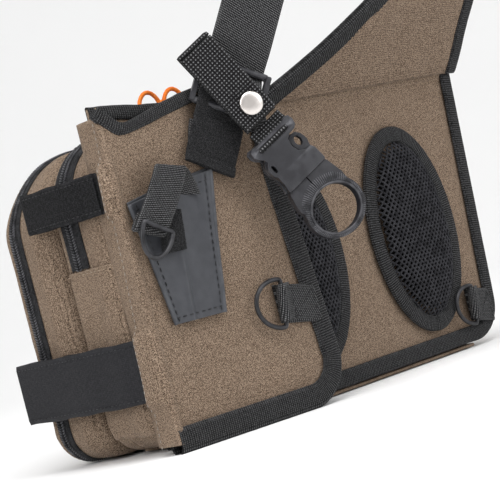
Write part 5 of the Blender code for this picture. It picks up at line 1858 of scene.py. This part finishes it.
socketOutline = [(-0.0225, base + 0.0126), (0.0225, base + 0.0126), (0.0235, base + 0.020), (0.0205, base + 0.028),
    (0.0205, base + 0.034),
                 (0.0235, base + 0.042), (0.0225, top - 0.002), (0.0205, top), (-0.0205, top), (-0.0225, top - 0.002),
                 (-0.0235, base + 0.042), (-0.0205, base + 0.034), (-0.0205, base + 0.028), (-0.0235, base + 0.020)]
window = [(-0.0100, base + 0.022), (0.0100, base + 0.022), (0.0080, base + 0.038), (-0.0080, base + 0.038)]
parts = [
    bevelled(extruded("socketFace", [socketOutline, window], -0.0028, -0.0050, plastic, strapPlace), 0.0008, 3),
    bevelled(extruded("socketRear", [socketOutline], 0.0050, 0.0028, plastic, strapPlace), 0.0008, 3),
]
for sign in (-1, 1):
    wall = [(sign * 0.0190, base + 0.0126), (sign * 0.0215, base + 0.0126), (sign * 0.0215, top - 0.001),
        (sign * 0.0190, top - 0.001)]
    parts.append(extruded("socketWall", [wall[::sign]], 0.0030, -0.0030, plastic, strapPlace))
parts.append(extruded("socketBar", [[(-0.0215, top - 0.006), (0.0215, top - 0.006), (0.0215, top), (-0.0215, top)]],
    0.0030, -0.0030, plastic, strapPlace))
worn(joined("strapSocketBody", parts), "shoulder_strap", "plastic", "strap_socket")

# ladder lock: a frame with raised ears and three plain round bars; the ribs on the middle bar where the webbing grips
# are not modelled
lockParts = []


def roundedBox(x0, x1, z0, z1, radius, steps=6):
    points = []
    for cx, cz, start in ((x1 - radius, z0 + radius, -90), (x1 - radius, z1 - radius, 0),
        (x0 + radius, z1 - radius, 90), (x0 + radius, z0 + radius, 180)):
        points += [(p.x, p.y) for p in arcPoints((cx, cz), radius, start, start + 90, steps)]
    return points


slots = [roundedBox(-0.0198, 0.0198, 0.0035, 0.0110, 0.0010, 3),
    roundedBox(-0.0198, 0.0198, -0.0110, -0.0035, 0.0010, 3)]
lockParts.append(bevelled(extruded("lockFrame", [roundedBox(-0.0230, 0.0230, -0.0150, 0.0150, 0.0042), *slots],
    -0.0002, -0.0034, plastic, strapPlace), 0.0007, 3))
for z, height in ((0.0, 0.0044), (-0.0130, 0.0048), (0.0130, 0.0046)):
    bar = [(-0.0205, -0.0016 - 0.0010, z), (0.0205, -0.0016 - 0.0010, z)]
    lockParts.append(tube("lockBar", resampled(bar, 20), 0.0019, plastic, 14, closed=False, place=strapPlace))
for sign in (-1, 1):
    ear = roundedBox(min(sign * 0.0203, sign * 0.0232), max(sign * 0.0203, sign * 0.0232), -0.0140, 0.0140, 0.0012, 4)
    lockParts.append(bevelled(extruded("lockEar", [ear], -0.0004, -0.0050, plastic, strapPlace), 0.0006, 3))
worn(joined("ladderLockBody", lockParts), "lower_strap", "plastic", "ladder_lock")
lockWrap = curved([(0, 0.0012, 0.0128), (0, -0.0010, 0.0095), (0, -0.0046, 0.0050), (0, -0.0056, 0),
    (0, -0.0046, -0.0050), (0, -0.0020, -0.0095), (0, -0.0006, -0.0125), (0, -0.0002, -0.0150)], 8)
worn(ribbon("lockWrap", lockWrap, sideways, 0.0372, 0.0016, webbing, strapPlace, edge=0.0003, cols=19), "lower_strap",
    "webbing")

tabPath = curved([(0.0760, -0.0111, 0.1700), (0.0790, -0.0119, 0.1800), (0.0815, -0.0130, 0.1870)], 12)
lockTab = ribbon("lockTab", tabPath, tailAcross, 0.0340, 0.0014, webbing, wingPlace, cols=13)
worn(lockTab, "wing", "webbing", "lock_tab")
tailPath = curved([(0.0835, -0.0172, 0.1868), (0.0798, -0.0163, 0.1800), (0.0755, -0.0152, 0.1720),
    (0.0720, -0.0147, 0.1660), (0.0688, -0.0150, 0.1600)], 14)
tail = ribbon("strapTail", tailPath, tailAcross, 0.0370, 0.0017, fuzzyTape, wingPlace, edge=0.0002, cols=25, sag=0.0004)
hemPath = tailPath[-14:]
hem = ribbon("strapTailHem", [p + Vector((0, -0.0014, 0.0002)) for p in hemPath], tailAcross, 0.0368, 0.0012,
    fuzzyTape, wingPlace, cols=25)
hemLine = [wingPlace @ (tailPath[-12] + tailAcross.normalized() * s * 0.0165 + Vector((0, -0.0024,
    0))) for s in [k / 10 - 1 for k in range(21)]]
hemSewing = runAlong("tailSewing", hemLine, (0, -1, 0), darkThread, **stitch(0.0030, 0.0021, 0.0006, 0.0005))
tailRoot = curved([(0.0915, -0.0180, 0.2010), (0.0868, -0.0172, 0.1925), (0.0830, -0.0158, 0.1858),
    (0.0815, -0.0152, 0.1835)], 8)
worn(ribbon("tailRoot", tailRoot, tailAcross, 0.0366, 0.0012, fuzzyTape, wingPlace, cols=25), "lower_strap", "webbing")
strapTail = joined("strapTail", [tail, hem, hemSewing])
worn(strapTail, "strap_tail", "webbing", "strap_tail")
print("shoulder strap ready")

# --- tool strap and clip ---

tool = {"half": 0.0125, "fold": 0.0585, "ring": -0.0710, "top": -0.0098, "bottom": -0.0448, "shift": -0.0048}
flapPath = resampled([(0, -0.0009, -0.0002), (0, -0.0010, 0.0200), (0, -0.0009, tool["fold"])], 60)
flap = ribbon("toolFlap", flapPath, sideways, tool["half"] * 2, 0.0017, basketWebbing, clipPlace, edge=0.0003, cols=21)
seams = []
for z in (0.0022, 0.0046, 0.0195, 0.0215):
    line = [clipPlace @ Vector((-0.0110 + 0.0011 * k, -0.0022, z)) for k in range(21)]
    seams.append(runAlong("flapSewing", line, clipPlace.to_3x3() @ rearwards, darkThread,
        **stitch(0.0026, 0.0020, 0.0007, 0.0006)))
toolFlap = joined("toolFlap", [flap] + seams)
worn(toolFlap, "tool_flap", "webbing", "tool_strap_flap")
backPath = curved([(0, -0.0009, tool["fold"] + 0.0008), (0, 0.0002, tool["fold"] + 0.0024),
    (0, 0.0018, tool["fold"] + 0.0022), (0, 0.0030, tool["fold"] - 0.0004), (0, 0.0030, 0.0300), (0, 0.0030,
    -0.0015)], 12)
toolBack = ribbon("toolStrapBack", backPath, sideways, tool["half"] * 2, 0.0016, basketWebbing, clipPlace,
    edge=0.0002, cols=15)
worn(toolBack, "lower_strap", "webbing", "tool_strap_back")


def turned(name, profile, centre, finish, place, count=48):
    # revolved piece whose axis is Y; profile is (radius, y) from the middle out
    points = []
    for radius, y in profile:
        for i in range(count):
            angle = math.tau * i / count
            points.append(place @ Vector((centre[0] + radius * math.cos(angle), y,
                centre[1] + radius * math.sin(angle))))
    return outwards(meshObject(name, points, closedTube(len(profile), count), finish))


face = -0.0018 - 0.0003
cap = [(0.0010, face), (0.0072, face), (0.0075, face - 0.0003), (0.0074, face - 0.0009), (0.0069, face - 0.0013),
    (0.0060, face - 0.0016),
       (0.0040, face - 0.0019), (0.0018, face - 0.0020), (0.0004, face - 0.0020)]
worn(turned("snapCap", cap, (0.0015, 0.0110), brushedNickel, clipPlace), "tool_flap", "nickel", "snap_cap")
stud = [(0.0006, 0.0019), (0.0044, 0.0019), (0.0050, 0.0015), (0.0048, 0.0008), (0.0040, 0.0003), (0.0006, 0.0003)]
worn(turned("snapStud", stud, (0.0015, 0.0110), brushedNickel, clipPlace), "lower_strap", "nickel", "snap_stud")
loopPath = curved([(0, 0.0030, -0.0034), (0, 0.0024, -0.0070), (0, 0.0004, -0.0100), (0, 0.0000, -0.0128)], 10)
clipLoop = ribbon("clipLoop", loopPath, sideways, tool["half"] * 2, 0.0016, basketWebbing, clipPlace, edge=0.0003,
    cols=15)
worn(clipLoop, "tool_clip", "webbing", "clip_loop")


top, bottom = tool["top"], tool["bottom"]
hung = clipPlace @ Matrix.Translation((tool["shift"], 0, 0))
rightSide = [(0.0120, top), (0.0146, top + 0.0012), (0.0172, top + 0.0004), (0.0180, top - 0.0030),
    (0.0172, top - 0.0066), (0.0146, top - 0.0084),
             (0.0100, top - 0.0086), (0.0070, top - 0.0104), (0.0058, top - 0.0150), (0.0070, top - 0.0198), (0.0110,
                 top - 0.0226),
             (0.0150, top - 0.0230), (0.0162, top - 0.0256), (0.0164, bottom + 0.0010), (0.0158, bottom)]
leftSide = [(0.0120, top), (0.0150, top + 0.0004), (0.0170, top - 0.0012), (0.0172, top - 0.0044),
    (0.0156, top - 0.0074), (0.0136, top - 0.0092),
            (0.0130, top - 0.0120), (0.0146, top - 0.0136), (0.0160, top - 0.0166), (0.0158, top - 0.0206), (0.0146,
                top - 0.0232),
            (0.0146, bottom + 0.0060), (0.0156, bottom + 0.0010), (0.0152, bottom)]
outline = [(-x, z) for x, z in leftSide] + rightSide[::-1]
mouth = roundedBox(-0.0118, 0.0118, top - 0.0058, top - 0.0024, 0.0012, 4)
eye = [(-0.0126 + 0.0012 * math.cos(math.tau * k / 16),
    top - 0.0178 + 0.0028 * math.sin(math.tau * k / 16)) for k in range(16)]
parts = [
    bevelled(extruded("clipRear", [outline], 0.0060, 0.0034, plastic, hung), 0.0009, 3),
    bevelled(extruded("clipFace", [outline, mouth, eye], -0.0026, -0.0054, plastic, hung), 0.0011, 4),
]
head = [(0.0118, top - 0.0006), (0.0160, top - 0.0010), (0.0162, top - 0.0064), (0.0118, top - 0.0078)]
for sign in (-1, 1):
    parts.append(bevelled(extruded("clipHead", [[(sign * x, z) for x, z in head][::sign]], 0.0040, -0.0030, plastic,
        hung), 0.0004))
rail = [(-0.0136, top - 0.0110), (-0.0126, top - 0.0110), (-0.0126, top - 0.0225), (-0.0136, top - 0.0225)]
parts.append(extruded("clipRail", [rail], 0.0038, -0.0030, plastic, hung))
worn(joined("clipSocketBody", parts), "tool_clip", "plastic", "clip_socket")
weftPath = [(0, -0.0010, top - 0.0018), (0, -0.0040, top - 0.0026), (0, -0.0058, top - 0.0036),
    (0, -0.0052, top - 0.0052), (0, -0.0020, top - 0.0060)]
worn(ribbon("clipWrap", curved(weftPath, 6), sideways, 0.0232, 0.0012, basketWebbing, hung, edge=0.0002, cols=15),
    "tool_clip", "webbing")

ringMiddle = tool["ring"]
neck = bottom - 0.0003


def ellipsePoints(cx, cz, rx, rz, steps, start=0.0, stop=360.0):
    return [(cx + rx * math.cos(math.radians(start + (stop - start) * i / steps)),
        cz + rz * math.sin(math.radians(start + (stop - start) * i / steps))) for i in range(steps)]


outerRing = ellipsePoints(0, ringMiddle, 0.0202, 0.0186, 60, 150, 390)
outline = outerRing + [(0.0186, neck - 0.0130), (0.0176, neck - 0.0070), (0.0166, neck - 0.0015), (0.0158, neck),
    (-0.0152, neck), (-0.0162, neck - 0.0015),
                       (-0.0176, neck - 0.0070), (-0.0186, neck - 0.0130)]
hole = ellipsePoints(0, ringMiddle - 0.0006, 0.0163, 0.0146, 72)
parts = [bevelled(extruded("fingerRing", [outline, hole], 0.0042, -0.0036, plastic, hung), 0.0013, 4)]
rim = [hung @ Vector((x, -0.0035, z)) for x, z in ellipsePoints(0, ringMiddle - 0.0006, 0.0170, 0.0153, 96)]
parts.append(tube("fingerRim", rim, 0.0008, plastic, 10))
for i in range(96):
    # grip ribs all round the ring, longest where it meets the neck
    angle = math.tau * i / 96
    longer = 0.0034 * smooth(math.sin(angle), 0.2, 0.9)
    near = Vector((0.0176 * math.cos(angle), -0.0036, ringMiddle - 0.0006 + 0.0160 * math.sin(angle)))
    far = Vector(((0.0196 + longer) * math.cos(angle), -0.0034, ringMiddle + (0.0181 + longer) * math.sin(angle)))
    if abs(far.x) > 0.0196:
        far.x *= 0.0196 / abs(far.x)
    parts.append(tube("gripRib", [near, near.lerp(far, 0.5) + Vector((0, -0.0004, 0)), far], 0.00036, plastic, 6,
        closed=False, place=hung))
tongue = [(-0.0040, neck - 0.003), (0.0040, neck - 0.003), (0.0036, top - 0.0130), (-0.0036, top - 0.0130)]
parts.append(bevelled(extruded("clipTongue", [tongue], 0.0024, -0.0014, plastic, hung), 0.0005))
# a thin near-black strip on the clip face: painted shadow standing for the slit
slitShadow = [(-0.0012, neck + 0.0001), (-0.0004, neck + 0.0001), (-0.0004, ringMiddle + 0.0172),
    (-0.0012, ringMiddle + 0.0172)]
parts.append(extruded("clipSlitShadow", [slitShadow], -0.0030, -0.0037, meshGroundAndSlitShade, hung))
worn(joined("clipPlugBody", parts), "clip_plug", "plastic", "clip_plug")
for label, sign in (("left", -1), ("right", 1)):
    paddle = [(0.0076, top - 0.0112), (0.0104, top - 0.0098), (0.0142, top - 0.0104), (0.0164, top - 0.0136),
        (0.0172, top - 0.0186), (0.0160, top - 0.0216)]
    root = [(0.0128, neck + 0.0003), (0.0086, neck + 0.0003), (0.0092, top - 0.0226), (0.0076, top - 0.0190),
        (0.0070, top - 0.0150)]
    eye = [(0.0120 + 0.0022 * math.cos(math.tau * k / 20),
        top - 0.0158 + 0.0033 * math.sin(math.tau * k / 20)) for k in range(20)]
    arm = [(sign * x * (1 if sign > 0 else 0.93), z) for x, z in (paddle + root)[::sign]]
    eye = [(sign * x * (1 if sign > 0 else 0.93), z) for x, z in eye[::sign]]
    latch = bevelled(extruded(f"clipLatch_{label}", [arm, eye], 0.0026, -0.0020, plastic, hung), 0.0006, 3)
    worn(latch, f"clip_latch_{label}", "plastic", f"clip_latch_{label}")
print("tool strap and clip ready")


# --- floor, light and camera ---


def studio():
    points = []
    steps, floorZ, bendStart, bendRadius = 40, -0.0006, 0.9, 1.4
    profile = [(-3.0, floorZ), (bendStart, floorZ)]
    for i in range(1, 13):
        angle = math.radians(90 * i / 12)
        profile.append((bendStart + bendRadius * math.sin(angle), floorZ + bendRadius * (1 - math.cos(angle))))
    profile.append((bendStart + bendRadius, 4.0))
    for along, z in profile:
        for j in range(steps + 1):
            sideways = -4 + 8 * j / steps
            points.append(Vector((0.7071 * along - 0.7071 * sideways, 0.7071 * along + 0.7071 * sideways, z)))
    faces = gridFaces(len(profile), steps + 1)
    finish, tree, shader = blankFinish("paleFloor", 0.9)
    place = put(tree, "ShaderNodeTexCoord").outputs["Object"]
    cloud = put(tree, "ShaderNodeTexNoise", {"Vector": place, "Scale": 3.0, "Detail": 3.0}).outputs[0]
    tree.links.new(blended(tree, cloud, (0.88, 0.88, 0.88), (0.92, 0.92, 0.92)), shader.inputs["Base Color"])
    floor = meshObject("studioFloor", points, faces, finish)
    outwards(floor)
    if floor.data.polygons[0].normal.z < 0:
        floor.data.flip_normals()


def areaLight(name, place, target, size, power, colour=(1.0, 1.0, 1.0)):
    data = bpy.data.lights.new(name, "AREA")
    data.shape = "SQUARE"
    data.size = size
    data.energy = power
    data.color = colour
    lamp = bpy.data.objects.new(name, data)
    bpy.context.scene.collection.objects.link(lamp)
    lamp.location = place
    lamp.rotation_euler = (Vector(target) - Vector(place)).to_track_quat("-Z", "Y").to_euler()


studio()
areaLight("overhead", (-0.5, -0.7, 1.7), (0, 0, 0.1), 1.4, 26)
areaLight("leftSoft", (-1.7, -0.1, 0.9), (-0.1, 0, 0.1), 1.0, 13)
areaLight("rightSoft", (0.5, -1.7, 0.9), (0, 0, 0.1), 1.2, 13)
scene = bpy.context.scene
scene.world = bpy.data.worlds.new("studioAir")
scene.world.use_nodes = True
background = scene.world.node_tree.nodes["Background"]
background.inputs[0].default_value = (1.0, 1.0, 1.0, 1.0)
air = scene.world.node_tree
seen = air.nodes.new("ShaderNodeLightPath").outputs["Is Camera Ray"]
air.links.new(calc(air, "MULTIPLY_ADD", seen, 0.45, 0.60), background.inputs[1])
scene.view_settings.view_transform = "Standard"

view = {"roll": 14.5, "lens": 130.25, "sensor": 36, "nearest": 0.05, "place": (-0.871, -0.8405, 0.106)}
roll = math.radians(view["roll"])
right3, up3, ahead3 = Vector((0.70711, -0.70711, 0)), Vector((0, 0, 1)), Vector((0.70711, 0.70711, 0))
axisX = right3 * math.cos(roll) - up3 * math.sin(roll)
axisY = right3 * math.sin(roll) + up3 * math.cos(roll)
lens = bpy.data.cameras.new("bagCamera")
lens.lens = view["lens"]
lens.sensor_width = view["sensor"]
lens.clip_start = view["nearest"]
camera = bpy.data.objects.new("bagCamera", lens)
scene.collection.objects.link(camera)
turn = [(axisX[k], axisY[k], -ahead3[k], view["place"][k]) for k in range(3)]
camera.matrix_world = Matrix((*turn, (0, 0, 0, 1)))
scene.camera = camera
